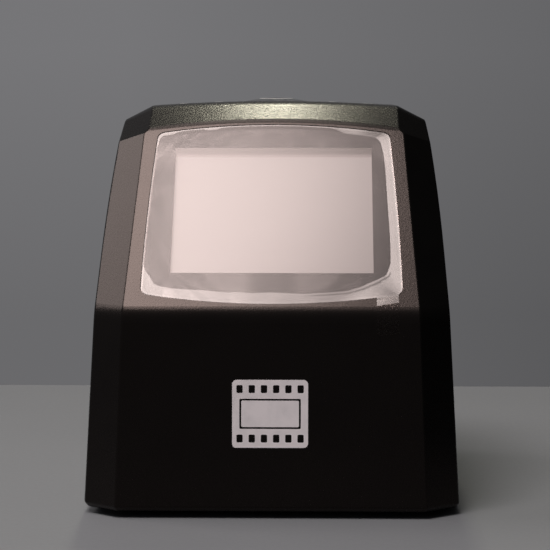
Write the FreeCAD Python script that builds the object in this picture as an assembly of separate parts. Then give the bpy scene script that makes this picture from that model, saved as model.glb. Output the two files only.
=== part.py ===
import FreeCAD, Part
import math
import os

V = FreeCAD.Vector

# Overall size and the case's outlines, in millimetres and degrees
body_width = 90.6
body_depth = 90.0
body_height = 98.8
foot_gap = 1.5
wall = 2.2
front_low_lean = 3.0
front_high_lean = 37.0
face_length = 56.6
bend_radius = 7.0
side_low_draft = 3.15
side_high_draft = 8.0
side_bend_drop = 22.0
side_bend_radius = 330.0
rear_lean = 3.0
rear_radius = 10.0
panel_inset_base = 8.1
panel_inset_bend = 9.9
panel_inset_top = 13.2
facet_angle = 36.0
top_inset = 13.8
top_crown = 1.1
top_fall = 27.0
crown_share = 0.98
shoulder_slope = 28.0
shoulder_drop = 4.7
shoulder_radius = 10.0
chamfer_inward = 1.0
chamfer_height = 1.3
corner_radius = 1.0
shoulder_edge_radius = 3.5
least_turn = 8.0
overrun = 5.0
reach = 2 * body_height
touching = 0.001

# Joints between the front shell, the side covers and the rear shell
rear_shell_depth = 7.5
side_cover_inset = 12.5
lip_length = 2.0
lip_gap = 0.15
seam_gap = 0.3

# Clearances and fasteners
moving_gap = 0.3
seat_gap = 0.2
screw_radius = 1.0
screw_head_radius = 2.0
screw_head_height = 1.2
screw_length = 8.0
short_screw_length = 5.0
pilot_gap = 0.05
boss_radius = 3.0
recess_depth_share = 0.5
rib_width = 1.6


def slope(angle):
    return math.tan(math.radians(angle))


def block(x_low, x_high, y_low, y_high, z_low, z_high):
    return Part.makeBox(x_high - x_low, y_high - y_low, z_high - z_low, V(x_low, y_low, z_low))


def rod(radius, z_low, z_high, x, y):
    return Part.makeCylinder(radius, z_high - z_low, V(x, y, z_low))


def rod_back(radius, y_low, y_high, x, z):
    return Part.makeCylinder(radius, y_high - y_low, V(x, y_low, z), V(0, 1, 0))


def ring(outer_radius, inner_radius, z_low, z_high, x, y):
    return rod(outer_radius, z_low, z_high, x, y).cut(rod(inner_radius, z_low, z_high, x, y))


def both_sides(shape):
    return [shape, shape.mirror(V(), V(1, 0, 0))]


def add(base, pieces):
    return base.multiFuse(pieces).removeSplitter() if pieces else base


def remove(base, tools):
    return base.cut(Part.makeCompound(tools))


# The case's form: an outline drawn in by an inset, with rounded corners
def drawn_in(corners, inset):
    if not inset:
        return corners
    count = len(corners)
    directions = [(corners[(i + 1) % count] - corners[i]).normalize() for i in range(count)]
    starts = [corners[i] + V(-d.y, d.x, 0) * inset for i, d in enumerate(directions)]
    points = []
    for i in range(count):
        p, d = starts[i - 1], directions[i - 1]
        q, e = starts[i], directions[i]
        along = ((q.x - p.x) * e.y - (q.y - p.y) * e.x) / (d.x * e.y - d.y * e.x)
        points.append(p + d * along)
    return points


def rounded_wire(corners, radii):
    starts = []
    ends = []
    arcs = []
    count = len(corners)
    for i, corner in enumerate(corners):
        if not radii[i]:
            starts.append(corner)
            ends.append(corner)
            arcs.append(None)
            continue
        before = (corners[i - 1] - corner).normalize()
        after = (corners[(i + 1) % count] - corner).normalize()
        half_angle = before.getAngle(after) / 2
        tangent = radii[i] / math.tan(half_angle)
        inward = (before + after).normalize()
        centre = corner + inward * (radii[i] / math.sin(half_angle))
        starts.append(corner + before * tangent)
        ends.append(corner + after * tangent)
        arcs.append(Part.Arc(starts[i], centre - inward * radii[i], ends[i]).toShape())
    edges = []
    for i in range(count):
        following = starts[(i + 1) % count]
        if arcs[i]:
            edges.append(arcs[i])
        if ends[i].distanceToPoint(following) > touching:
            edges.append(Part.LineSegment(ends[i], following).toShape())
    return Part.Wire(edges)


def rounded_face(corners, radii):
    return Part.Face(rounded_wire(corners, radii))


def upright(shape, turn):
    shape.rotate(V(), V(1, 0, 0), 90)
    shape.rotate(V(), V(0, 0, 1), turn)
    return shape


def upright_prism(corners, radii, turn):
    face = rounded_face(corners, radii)
    face.translate(V(0, 0, -reach / 2))
    return upright(face.extrude(V(0, 0, reach)), turn)


def eased(radius, inset):
    return radius - inset if radius else 0


split_y = body_depth / 2 - rear_shell_depth
shoulder_height = body_height - shoulder_drop
bend_height = shoulder_height - face_length * math.cos(math.radians(front_high_lean))
side_bend_height = body_height - side_bend_drop
panel_half_base = body_width / 2 - panel_inset_base
panel_half_bend = body_width / 2 - panel_inset_bend
panel_half_top = body_width / 2 - panel_inset_top
top_half = body_width / 2 - top_inset
side_cover_front = side_cover_inset - body_depth / 2
side_cover_top = bend_height
bend_y = -body_depth / 2 + (bend_height - foot_gap) * slope(front_low_lean)
side_bend_x = body_width / 2 - (side_bend_height - foot_gap) * slope(side_low_draft)
above = body_height + overrun


def front_y(z):
    if z < bend_height:
        return -body_depth / 2 + (z - foot_gap) * slope(front_low_lean)
    return bend_y + (z - bend_height) * slope(front_high_lean)


def rear_y(z):
    return body_depth / 2 - (z - foot_gap) * slope(rear_lean)


def side_x(z):
    if z < side_bend_height:
        return body_width / 2 - (z - foot_gap) * slope(side_low_draft)
    return side_bend_x - (z - side_bend_height) * slope(side_high_draft)


def foot_corners(edge_at, floor, inward, chamfered):
    if not chamfered:
        return [V(edge_at(floor), floor, 0)]
    top = floor + chamfer_height
    return [V(edge_at(floor) + inward * chamfer_inward, floor, 0), V(edge_at(top), top, 0)]


def front_prism(inset, chamfered):
    floor = foot_gap - inset
    foot = foot_corners(front_y, floor, 1, chamfered)
    bend = V(bend_y, bend_height, 0)
    corners = [foot[0], V(reach, floor, 0), V(reach, above, 0), V(front_y(above), above, 0), bend] + foot[:0:-1]
    radii = [0, 0, 0, 0, eased(bend_radius, inset)] + [0] * (len(foot) - 1)
    return upright_prism(drawn_in(corners, inset), radii, 90)


def side_prism(inset, chamfered):
    floor = foot_gap - inset
    right = foot_corners(side_x, floor, -1, chamfered)
    right += [V(side_bend_x, side_bend_height, 0), V(side_x(above), above, 0)]
    corners = right + [V(-p.x, p.y, 0) for p in reversed(right)]
    bend = eased(side_bend_radius, inset)
    radii = [bend if p.y == side_bend_height else 0 for p in corners]
    return upright_prism(drawn_in(corners, inset), radii, 0)


def facet_prisms(inset, chamfered):
    angle = math.radians(facet_angle)
    floor = foot_gap - inset
    shrink = (panel_half_bend - panel_half_top) / (body_height - bend_height)
    half_above = panel_half_bend - shrink * (above - bend_height)

    def outward(half, z):
        return half * math.sin(angle) - front_y(z) * math.cos(angle)

    foot = foot_corners(lambda z: outward(panel_half_base, z), floor, -1, chamfered)
    bend = V(outward(panel_half_bend, bend_height), bend_height, 0)
    top = V(outward(half_above, above), above, 0)
    corners = [V(-reach, floor, 0)] + foot + [bend, top, V(-reach, above, 0)]
    tangent = bend_radius * slope((front_high_lean - front_low_lean) / 2)
    turn = (bend - foot[-1]).getAngle(top - bend)
    radii = [0] + [0] * len(foot) + [eased(tangent / math.tan(turn / 2), inset), 0, 0]
    prism = upright_prism(drawn_in(corners, inset), radii, facet_angle - 90)
    return both_sides(prism)


def top_section(inset, half, low):
    edge = body_height - top_crown
    drop = (half - top_half) * slope(top_fall)
    right = [V(half, low - inset, 0), V(half, edge - drop, 0), V(top_half, edge, 0)]
    apex = V(0, body_height + top_crown, 0)
    corners = drawn_in(right + [apex] + [V(-p.x, p.y, 0) for p in reversed(right)], inset)
    run = corners[3] - corners[2]
    crown_radius = run.Length * crown_share / math.tan(run.getAngle(V(-1, 0, 0)))
    return upright(rounded_face(corners, [0, 0, 0, crown_radius, 0, 0, 0]), 0)


level_front = front_y(shoulder_height) + (body_height - shoulder_height) / slope(shoulder_slope)
level_front += shoulder_radius * slope(shoulder_slope / 2)
level_rear = rear_y(body_height) - rear_radius * slope((90 - rear_lean) / 2)


def turned_end(inset, y, radius, angle):
    """The top's section rolled over an edge at y, then run on straight."""
    axis = V(0, y, body_height - radius)
    narrow = top_section(inset, side_x(shoulder_height) + wall, axis.z)
    narrow.translate(V(0, y, 0))
    roll = narrow.revolve(axis, V(1, 0, 0), angle)
    run = top_section(inset, body_width, -reach)
    run.translate(V(0, y, 0))
    run.rotate(axis, V(1, 0, 0), angle)
    toward = -1 if angle > 0 else 1
    turn = math.radians(angle)
    direction = V(0, math.cos(turn), math.sin(turn)) * (toward * reach)
    level = top_section(inset, body_width, -reach)
    level.translate(V(0, y, 0))
    level = level.extrude(V(0, -toward * reach, 0))
    return level.multiFuse([roll, run.extrude(direction)])


def envelope(inset, chamfered=False):
    front = turned_end(inset, level_front, shoulder_radius, shoulder_slope)
    rear = turned_end(inset, level_rear, rear_radius, rear_lean - 90)
    shape = front.common(rear)
    for prism in [front_prism(inset, chamfered), side_prism(inset, chamfered)] + facet_prisms(inset, chamfered):
        shape = shape.common(prism)
    return shape.removeSplitter()


# Film channel through both sides, with the gates above and below it
slot_front_margin = 19.0
slot_rear_margin = 11.0
slot_low_share = 0.2227
slot_height = 8.5
slot_corner = 1.5
gate_inset = 9.0
gate_thickness = 2.0
channel_play = 0.7
rail_front_width = 4.0
rail_rear_width = 3.2
leg_inset = 21.5
leg_width = 6.0
slot_low = body_height * slot_low_share
slot_high = slot_low + slot_height
slot_front = slot_front_margin - body_depth / 2
slot_rear = body_depth / 2 - slot_rear_margin
optical_y = (slot_front + slot_rear) / 2
gate_half = body_width / 2 - gate_inset
lower_gate_top = slot_low - channel_play
upper_gate_low = slot_high + channel_play
upper_gate_top = upper_gate_low + gate_thickness
rail_front_y = slot_front - rail_front_width / 2
rail_rear_y = slot_rear + rail_rear_width / 2
leg_x = body_width / 2 - leg_inset

# Backlight under the film, and the windows of the gates over it
light_side_gap = 13.0
light_end_gap = 13.0
window_rim = 4.0
light_wall = 1.5
diffuser_thickness = 1.5
led_length = 3.5
led_width = 2.8
led_height = 0.8
led_rows = 3
led_spread_share = 0.7
light_half_x = gate_half - light_side_gap
light_half_y = (slot_rear - slot_front) / 2 - light_end_gap
window_half_x = light_half_x - window_rim
window_half_y = light_half_y - window_rim
led_reach_x = (light_half_x - light_wall - led_length / 2) * led_spread_share
led_reach_y = (light_half_y - light_wall) * led_spread_share

# Base, feet and the screws that hold them
base_thickness = 2.5
foot_radius = 4.5
foot_recess = 0.5
foot_inset_x = 9.4
foot_inset_front = 15.0
foot_inset_rear = 11.5
base_boss_inset_x = 15.0
base_boss_inset_front = 8.0
base_boss_inset_rear = 7.0
base_boss_height = 12.0
base_top = foot_gap + base_thickness
foot_x = body_width / 2 - foot_inset_x
foot_front_y = foot_inset_front - body_depth / 2
foot_rear_y = body_depth / 2 - foot_inset_rear
base_boss_x = body_width / 2 - base_boss_inset_x
base_boss_front_y = base_boss_inset_front - body_depth / 2
base_boss_rear_y = body_depth / 2 - base_boss_inset_rear

# Lens window, measured on the leaning face: across, and up from the bend
lens_inset_top = 3.0
lens_inset_low = 4.0
lens_drop = 4.0
lens_low = 5.6
lens_rise = 2.65
lens_sag = 2.8
lens_side_bow = 0.4
lens_corner = 2.2
lens_gap = 0.1
lens_thickness = 1.0
film_thickness = 0.15
mask_thickness = 0.1
adhesive_thickness = 0.2
film_margin = 0.1
mask_margin = 0.3
adhesive_width = 1.6
view_inset_side = 4.6
view_inset_low = 6.5
view_inset_top = 3.75
view_gap = 0.9
tab_width = 5.2
tab_inset = 1.1
tab_drop = 4.8
tab_lift = 0.5
lens_half_top = panel_half_top - lens_inset_top
lens_half_low = panel_half_bend - lens_inset_low
lens_top = face_length - lens_drop
view_half = lens_half_top - view_inset_side
view_low = lens_low + view_inset_low
view_high = lens_top - view_inset_top
tab_right = lens_half_low - tab_inset
tab_left = tab_right - tab_width
tab_low = bend_height - tab_drop

# Display module behind the leaning face
display_rim_x = 4.5
display_rim_up = 2.8
display_depth = 2.6
display_skin = 0.4
glass_thickness = 1.2
gasket_thickness = 0.5
bracket_thickness = 1.5
bracket_rim = 2.5
bracket_relief_share = 0.55
display_boss_out = 2.7
display_boss_in = 5.0
display_boss_radius = 2.2
ribbon_half = 6.5
ribbon_rise = 7.0
ribbon_clear = 1.6
ribbon_thickness = 0.3
ribbon_bend = 1.0
display_middle = (view_low + view_high) / 2
display_half_x = view_half + display_rim_x
display_half_up = (view_high - view_low) / 2 + display_rim_up
display_boss_x = display_half_x + display_boss_out
display_boss_low = display_middle - display_half_up + display_boss_in
display_boss_high = display_middle + display_half_up - display_boss_in
bracket_half_x = display_boss_x + bracket_rim
ribbon_exit = display_middle - display_half_up + ribbon_rise
lens_bottom = -film_thickness - lens_thickness
mask_bottom = lens_bottom - mask_thickness
recess_bottom = mask_bottom - adhesive_thickness
gasket_bottom = -wall - gasket_thickness
display_back = gasket_bottom - display_depth
bracket_back = display_back - bracket_thickness

# Main board, hung under the top, and the frame that carries it
main_board_drop = 21.8
main_board_thickness = 1.6
main_board_inset_x = 12.0
main_board_inset_rear = 9.0
main_board_gap = 3.4
frame_thickness = 1.5
frame_leg_width = 5.0
frame_leg_inset_x = 2.0
frame_leg_inset_front = 4.0
frame_leg_inset_rear = 12.0
connector_inset = 4.0
connector_length = 4.5
connector_height = 2.2
ribbon_lift = 1.4
board_thickness = 1.2
main_board_z = body_height - main_board_drop
board_top = main_board_z + main_board_thickness
main_board_half = body_width / 2 - main_board_inset_x
main_board_rear = body_depth / 2 - main_board_inset_rear
bracket_reach = -bracket_back / math.cos(math.radians(front_high_lean))
main_board_front = front_y(board_top) + bracket_reach + main_board_gap
frame_leg_x = main_board_half - frame_leg_inset_x
frame_leg_front = main_board_front + frame_leg_inset_front
frame_leg_rear = main_board_rear - frame_leg_inset_rear

# Rear case screws, under the main board
case_boss_inset_x = 16.0
case_boss_drop = 8.2
case_boss_length = 10.0
case_boss_x = body_width / 2 - case_boss_inset_x
case_boss_z = main_board_z - case_boss_drop

# Optical column over the film, hung from the main board's height
sensor_board_drop = 6.2
camera_height = 4.0
camera_half = 9.0
camera_bore_half = 6.0
holder_share = 0.4
holder_plate = 2.0
holder_half = 12.0
holder_radius = 8.0
shroud_wall = 1.2
shroud_top_half = 11.0
shroud_flange = 3.0
barrel_drop = 1.0
barrel_share = 0.667
barrel_radius = 5.9
barrel_bore = 4.6
thread_gap = 0.1
element_count = 3
element_edge = 1.6
filter_half = 4.5
filter_thickness = 0.8
stop_share = 0.85
sensor_half = 4.5
sensor_thickness = 1.0
sensor_margin = 1.5
small_screw_share = 0.7
sensor_ribbon_half = 4.0
sensor_ribbon_inset = 7.0
sensor_ribbon_run = 7.0
sensor_board_z = main_board_z - sensor_board_drop
camera_low = sensor_board_z - camera_height
holder_height = (sensor_board_z - upper_gate_top) * holder_share
holder_low = sensor_board_z - holder_height
barrel_length = holder_height * barrel_share
barrel_low = holder_low - barrel_drop
barrel_high = barrel_low + barrel_length
sensor_ribbon_out = main_board_rear - sensor_ribbon_inset
sensor_ribbon_end = sensor_ribbon_out - sensor_ribbon_run

# Keys in a row along the level top
inlay_margin = 1.7
inlay_rim = 2.0
inlay_thickness = 0.8
inlay_gap = 0.1
ok_radius_share = 0.267
arrow_radius_share = 0.12
small_radius_share = 0.087
arrow_place_share = 0.5
small_place_share = 0.8167
ok_rise = 0.9
key_skirt = 3.6
key_flange = 0.8
key_flange_thickness = 0.8
key_travel = 0.6
switch_half = 3.0
switch_height = 3.5
plunger_radius = 1.6
plunger_rise = 0.9
plunger_depth = 1.0
plunger_rest = 0.4
stem_rim = 0.6
key_board_drop = 10.5
key_board_reach = 11.0
key_board_boss_reach = 8.0
key_ribbon_inset = 2.7
key_ribbon_half = 2.5
key_ribbon_run = 2.0
key_ribbon_hang = 3.5
inlay_half_x = top_half - inlay_margin
ok_radius = inlay_half_x * ok_radius_share
arrow_radius = inlay_half_x * arrow_radius_share
small_radius = inlay_half_x * small_radius_share
arrow_x = inlay_half_x * arrow_place_share
small_x = inlay_half_x * small_place_share
inlay_radius = ok_radius + inlay_rim
key_row_y = (level_front + level_rear) / 2
key_board_z = body_height - key_board_drop
key_board_half = small_x + switch_half
key_board_front = key_row_y - key_board_reach
key_board_rear = key_row_y + key_board_reach
key_board_boss_x = (arrow_x + small_x) / 2
key_board_boss_front = key_row_y - key_board_boss_reach
key_board_boss_rear = key_row_y + key_board_boss_reach
switch_low = key_board_z + board_thickness
switch_top = switch_low + switch_height
key_ribbon_x = arrow_x - key_ribbon_inset
key_ribbon_front = key_board_front - key_ribbon_hang
key_ribbon_start = key_board_front + key_ribbon_half
key_ribbon_end = key_ribbon_front + key_ribbon_run

# Sprung detent pins that click into the film tray
pin_inset = 4.0
pin_radius = 1.4
pin_rise = 0.8
pin_travel = 1.0
pin_flange = 0.6
pin_flange_thickness = 1.0
rest_play_share = 0.1
pin_round_share = 0.9
cup_radius = 3.2
cup_wall = 0.9
cup_height = 7.0
cup_floor = 1.0
spring_wall = 0.4
pin_front_y = slot_front + pin_inset
pin_rear_y = slot_rear - pin_inset

# Sockets along the rear edge of the main board
socket_face_gap = 0.6
port_gap = 0.4
card_half = 14.0
card_height = 3.0
card_front_gap = 2.2
card_slot_half = 12.3
card_slot_height = 2.5
card_slot_floor = 2.0
usb_inset = 6.0
usb_half = 3.9
usb_height = 4.0
usb_length = 9.2
usb_skin = 0.4
usb_tongue_half = 2.6
usb_tongue_height = 1.2
jack_inset = 5.3
jack_half = 3.2
jack_length = 12.0
jack_height = 6.0
jack_bore = 1.78
jack_nose = 2.9
jack_wall = 1.0
wire_width = 2.6
wire_gap = 2.9
wire_wall_gap = 1.0
backlight_board_rim = 1.0
backlight_board_tail = 6.0
usb_x = usb_inset - main_board_half
jack_x = main_board_half - jack_inset
wire_x = usb_x + usb_half + wire_gap + wire_width / 2
card_x = (wire_x + wire_width / 2 + jack_x - jack_half) / 2
wire_y = rear_y(board_top) - wall - wire_wall_gap
backlight_board_half = light_half_x + backlight_board_rim
backlight_board_front = optical_y - light_half_y - backlight_board_rim
backlight_board_rear = optical_y + light_half_y + backlight_board_tail

# Parts soldered to the main board
chip_height = 1.2
processor_half = 6.0
processor_inset_x = 10.0
processor_inset_y = 12.0
memory_half_x = 4.0
memory_half_y = 4.5
memory_inset_x = 12.5
memory_inset_y = 5.5
capacitor_radius = 2.0
capacitor_height = 4.5
capacitor_inset_x = 6.8
capacitor_inset_y = 12.5
capacitor_pitch = 4.6
processor_x = processor_inset_x - main_board_half
processor_y = main_board_front + processor_inset_y
memory_x = main_board_half - memory_inset_x
memory_y = main_board_front + memory_inset_y
capacitor_x = main_board_half - capacitor_inset_x
capacitor_y = main_board_front + capacitor_inset_y


def turn_at(shape, edge):
    """The angle between the faces that meet at an edge."""
    middle = edge.valueAt((edge.FirstParameter + edge.LastParameter) / 2)
    faces = shape.ancestorsOfType(edge, Part.Face)
    normals = [face.normalAt(*face.Surface.parameter(middle)) for face in faces]
    return math.degrees(normals[0].getAngle(normals[-1]))


def across_shoulder(edge):
    box = edge.BoundBox
    lies_on_face = abs(front_y(box.ZMin) - box.YMin) < 2 * touching
    return lies_on_face and box.ZMin > side_bend_height and box.XLength > panel_half_top


def softened(shape):
    """The shape with its shoulder's front edge well rounded, and every other sharp edge a little."""
    shape = shape.makeFillet(shoulder_edge_radius, [e for e in shape.Edges if across_shoulder(e)])
    return shape.makeFillet(corner_radius, [e for e in shape.Edges if turn_at(shape, e) > least_turn])


outer = softened(envelope(0, True))
middle = envelope(wall / 2)
cavity = envelope(wall)


# Places on the leaning face: across, up the slope, and out from it
def on_face(shape):
    shape.rotate(V(), V(1, 0, 0), 90 - front_high_lean)
    shape.translate(V(0, bend_y, bend_height))
    return shape


def face_point(up, depth):
    lean = math.radians(front_high_lean)
    y = bend_y + up * math.sin(lean) + depth * math.cos(lean)
    z = bend_height + up * math.cos(lean) - depth * math.sin(lean)
    return V(y, z, 0)


def face_block(half, low, high, bottom, top):
    return block(-half, half, low, high, bottom, top)


def lens_prism(grow, bottom, top):
    low = V(lens_half_low + grow, lens_low - grow, 0)
    high = V(lens_half_top + grow, lens_top + grow, 0)
    side = (low + high) / 2 + V(lens_side_bow, 0, 0)
    crown = V(0, lens_top + lens_rise + grow, 0)
    dip = V(0, lens_low - lens_sag - grow, 0)

    def across(p):
        return V(-p.x, p.y, 0)

    arcs = [Part.Arc(low, side, high), Part.Arc(high, crown, across(high))]
    arcs += [Part.Arc(across(high), across(side), across(low)), Part.Arc(across(low), dip, low)]
    face = Part.Face(Part.Wire([arc.toShape() for arc in arcs]))
    face.translate(V(0, 0, bottom))
    prism = face.extrude(V(0, 0, top - bottom))
    corners = [e for e in prism.Edges if abs(e.Vertexes[0].Z - e.Vertexes[-1].Z) > (top - bottom) / 2]
    return prism.makeFillet(lens_corner + grow, corners)


def view_block(grow, bottom, top):
    return face_block(view_half + grow, view_low - grow, view_high + grow, bottom, top)


def display_block(shrink, bottom, top):
    half_up = display_half_up - shrink
    return face_block(display_half_x - shrink, display_middle - half_up, display_middle + half_up, bottom, top)


def display_boss_places():
    return [(x, up) for x in (-display_boss_x, display_boss_x) for up in (display_boss_low, display_boss_high)]


def display_window():
    return on_face(lens_prism(0, lens_bottom, -film_thickness))


def window_mask():
    mask = lens_prism(-mask_margin, mask_bottom, lens_bottom)
    return on_face(mask.cut(view_block(0, mask_bottom - overrun, overrun)))


def window_adhesive():
    glue = lens_prism(-mask_margin, recess_bottom, mask_bottom)
    opening = lens_prism(-mask_margin - adhesive_width, recess_bottom - overrun, overrun)
    return on_face(glue.cut(opening))


# Thin strips bent in the plane of the case's side
def strip(points, x_low, x_high, thickness, bend):
    directions = [(q - p).normalize() for p, q in zip(points, points[1:])]
    left = []
    right = []
    for i, point in enumerate(points):
        before = directions[max(i - 1, 0)]
        after = directions[min(i, len(directions) - 1)]
        normal = V(-before.y - after.y, before.x + after.x, 0).normalize()
        width = thickness / 2 / math.cos(before.getAngle(after) / 2)
        left.append(point + normal * width)
        right.append(point - normal * width)
    radii = [0] * (2 * len(points))
    for i in range(1, len(points) - 1):
        before, after = directions[i - 1], directions[i]
        to_left = before.x * after.y - before.y * after.x > 0
        side = thickness / 2
        radii[i] = bend + side if to_left else bend - side
        radii[-1 - i] = bend - side if to_left else bend + side
    face = rounded_face(right + left[::-1], radii)
    shape = upright(face.extrude(V(0, 0, x_high - x_low)), 90)
    shape.translate(V(x_low, 0, 0))
    return shape


def protective_film():
    sheet = on_face(lens_prism(-film_margin, -film_thickness, 0))
    lift = film_thickness / 2
    start = face_point(lens_low + lens_corner, lift)
    fold = face_point(0, -tab_lift)
    end = V(front_y(tab_low) - tab_lift - film_thickness, tab_low, 0)
    tab = strip([start, fold, end], tab_left, tab_right, film_thickness, ribbon_bend)
    return sheet.fuse(tab)


def window_gasket():
    ring_block = display_block(0, gasket_bottom, -wall)
    return on_face(ring_block.cut(view_block(view_gap, gasket_bottom - overrun, overrun)))


def display_panel():
    return on_face(display_block(display_skin, gasket_bottom - glass_thickness, gasket_bottom))


def display_backlight():
    return on_face(display_block(display_skin, display_back + display_skin, gasket_bottom - glass_thickness))


def display_frame():
    tray = display_block(0, display_back, gasket_bottom)
    return on_face(tray.cut(display_block(display_skin, display_back + display_skin, overrun)))


def display_bracket():
    low = display_middle - display_half_up
    plate = face_block(bracket_half_x, low, low + 2 * display_half_up, bracket_back, display_back)
    holes = [rod(screw_radius + pilot_gap, bracket_back - overrun, overrun, x, up) for x, up in display_boss_places()]
    exit_slot = face_block(ribbon_half + seat_gap, ribbon_exit - boss_radius, ribbon_exit + boss_radius, -reach, 0)
    relief_half = display_half_x * bracket_relief_share
    relief_up = display_half_up * bracket_relief_share
    middle_up = display_middle + boss_radius
    relief = face_block(relief_half, middle_up - relief_up / 2, middle_up + relief_up, -reach, 0)
    plate = on_face(remove(plate, holes + [exit_slot, relief]))
    return plate.common(envelope(wall + seat_gap))


def screw(place, axis, length):
    """A pan-head screw whose head sits on place and whose shank runs along axis."""
    shank = Part.makeCylinder(screw_radius, length, place, axis)
    head = Part.makeCylinder(screw_head_radius, screw_head_height, place, axis * -1)
    drive = Part.makeCylinder(screw_radius * recess_depth_share, screw_head_height, place + axis * -1 * (
        screw_head_height * recess_depth_share), axis * -1)
    return shank.fuse(head).cut(drive)


def display_screws():
    tilt = FreeCAD.Rotation(V(1, 0, 0), 90 - front_high_lean)
    screws = []
    for x, up in display_boss_places():
        at = face_point(up, -bracket_back)
        screws.append(screw(V(x, at.x, at.y), tilt.multVec(V(0, 0, 1)), short_screw_length))
    return Part.makeCompound(screws)


def display_ribbon():
    end_z = board_top + ribbon_lift
    lean = math.radians(front_high_lean)
    depth = -bracket_back + ribbon_clear
    up = (end_z - bend_height + depth * math.sin(lean)) / math.cos(lean)
    connector = V(main_board_front + connector_inset, end_z, 0)
    points = [face_point(ribbon_exit, -display_back), face_point(ribbon_exit, depth), face_point(up, depth), connector]
    return strip(points, -ribbon_half, ribbon_half, ribbon_thickness, ribbon_bend)


# Feet, base and their bosses
def foot_places():
    return [(x, y) for x in (-foot_x, foot_x) for y in (foot_front_y, foot_rear_y)]


def leg_places():
    return [(x, y) for x in (-leg_x, leg_x) for y in (rail_front_y, rail_rear_y)]


def rubber_feet():
    feet = []
    for x, y in foot_places():
        foot = rod(foot_radius, 0, foot_gap + foot_recess, x, y)
        feet.append(foot.makeChamfer(foot_recess, [foot.Edges[-1]]))
    return Part.makeCompound(feet)


def base_plate():
    plate = envelope(wall + seat_gap)
    plate = plate.common(block(-reach, reach, -reach, reach, 0, base_top))
    holes = [rod(foot_radius + seat_gap, 0, foot_gap + foot_recess, x, y) for x, y in foot_places()]
    head_low = foot_gap + screw_head_height
    for x, y in leg_places() + front_boss_places() + rear_boss_places():
        holes.append(rod(screw_radius + pilot_gap, 0, base_top + overrun, x, y))
        holes.append(rod(screw_head_radius + seat_gap, 0, head_low, x, y))
    return remove(plate, holes)


def front_boss_places():
    return [(x, base_boss_front_y) for x in (-base_boss_x, base_boss_x)]


def rear_boss_places():
    return [(x, base_boss_rear_y) for x in (-base_boss_x, base_boss_x)]


def base_screws():
    head_low = foot_gap + screw_head_height
    places = front_boss_places() + rear_boss_places() + leg_places()
    return Part.makeCompound([screw(V(x, y, head_low), V(0, 0, 1), screw_length) for x, y in places])


def base_bosses(places, wall_y):
    bosses = []
    for x, y in places:
        bosses.append(rod(boss_radius, base_top, base_top + base_boss_height, x, y))
        near, far = sorted((y, wall_y))
        bosses.append(block(x - rib_width / 2, x + rib_width / 2, near, far, base_top, base_top + base_boss_height))
    return bosses


def base_pilots(places):
    return [rod(screw_radius, base_top - overrun, base_top + screw_length, x, y) for x, y in places]


# Front shell: front, top and the sides' edges in one moulding
def key_places():
    return [(-small_x, small_radius), (-arrow_x, arrow_radius), (0, ok_radius), (arrow_x, arrow_radius),
            (small_x, small_radius)]


def inlay_prism(grow):
    radius = inlay_radius + grow
    run = inlay_half_x - inlay_radius
    ends = [rod(radius, key_board_z, body_height + overrun, x, key_row_y) for x in (-run, run)]
    bar = block(-run, run, key_row_y - radius, key_row_y + radius, key_board_z, body_height + overrun)
    return bar.multiFuse(ends)


def key_holes(grow):
    return [rod(r + moving_gap + grow, key_board_z, body_height + overrun, x, key_row_y) for x, r in key_places()]


def key_panel():
    skin = inlay_prism(0).common(envelope(0)).cut(envelope(inlay_thickness))
    return remove(skin, key_holes(0))


def key_board_boss_places():
    rows = (key_board_boss_front, key_board_boss_rear)
    return [(x, y) for x in (-key_board_boss_x, key_board_boss_x) for y in rows]


def top_bosses():
    low = key_board_z + board_thickness
    return [rod(display_boss_radius, low, body_height, x, y) for x, y in key_board_boss_places()]


def slot_tool():
    tool = block(-reach, reach, slot_front, slot_rear, slot_low, slot_high)
    edges = [e for e in tool.Edges if e.BoundBox.XLength > reach]
    return tool.makeFillet(slot_corner, edges)


def cover_blocks(grow):
    """The places of the side covers, grown forward and up."""
    front = side_cover_front - grow
    return both_sides(block(gate_half, reach, front, split_y, -reach, side_cover_top + grow))


def lapped(shape, half_wall):
    """The shape with its inner half cut back where the rear shell's tongue lies."""
    return shape.cut(half_wall.common(block(-reach, reach, split_y - lip_length, split_y + overrun, -reach, reach)))


def side_covers():
    half_wall = envelope(wall / 2 - lip_gap)
    skin = outer.cut(cavity)
    tongue_skin = middle.cut(cavity)
    covers = []
    for place, tongue_place in zip(cover_blocks(0), cover_blocks(lip_length - seat_gap)):
        cover = skin.common(place).fuse(tongue_skin.common(tongue_place)).removeSplitter()
        covers.append(remove(lapped(cover, half_wall), [slot_tool()]))
    return Part.makeCompound(covers)


def rear_bosses_on_front():
    start = split_y - case_boss_length
    rib_end = split_y - lip_length - seat_gap
    half = rib_width / 2
    bosses = []
    for side in (-1, 1):
        x = side * case_boss_x
        low, high = sorted((x, side * body_width / 2))
        bosses.append(rod_back(boss_radius, start, split_y, x, case_boss_z))
        bosses.append(block(low, high, start, rib_end, case_boss_z - half, case_boss_z + half))
    return bosses


def screw_holes_in_front():
    tools = base_pilots(front_boss_places())
    face_low = display_back - overrun
    face_high = display_back + short_screw_length - bracket_thickness
    tools += [on_face(rod(screw_radius, face_low, face_high, x, up)) for x, up in display_boss_places()]
    top = key_board_z + short_screw_length
    tools += [rod(screw_radius, key_board_z, top, x, y) for x, y in key_board_boss_places()]
    start = split_y - case_boss_length + wall
    tools += [rod_back(screw_radius, start, split_y + overrun, x, case_boss_z) for x in (-case_boss_x, case_boss_x)]
    return tools


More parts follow.
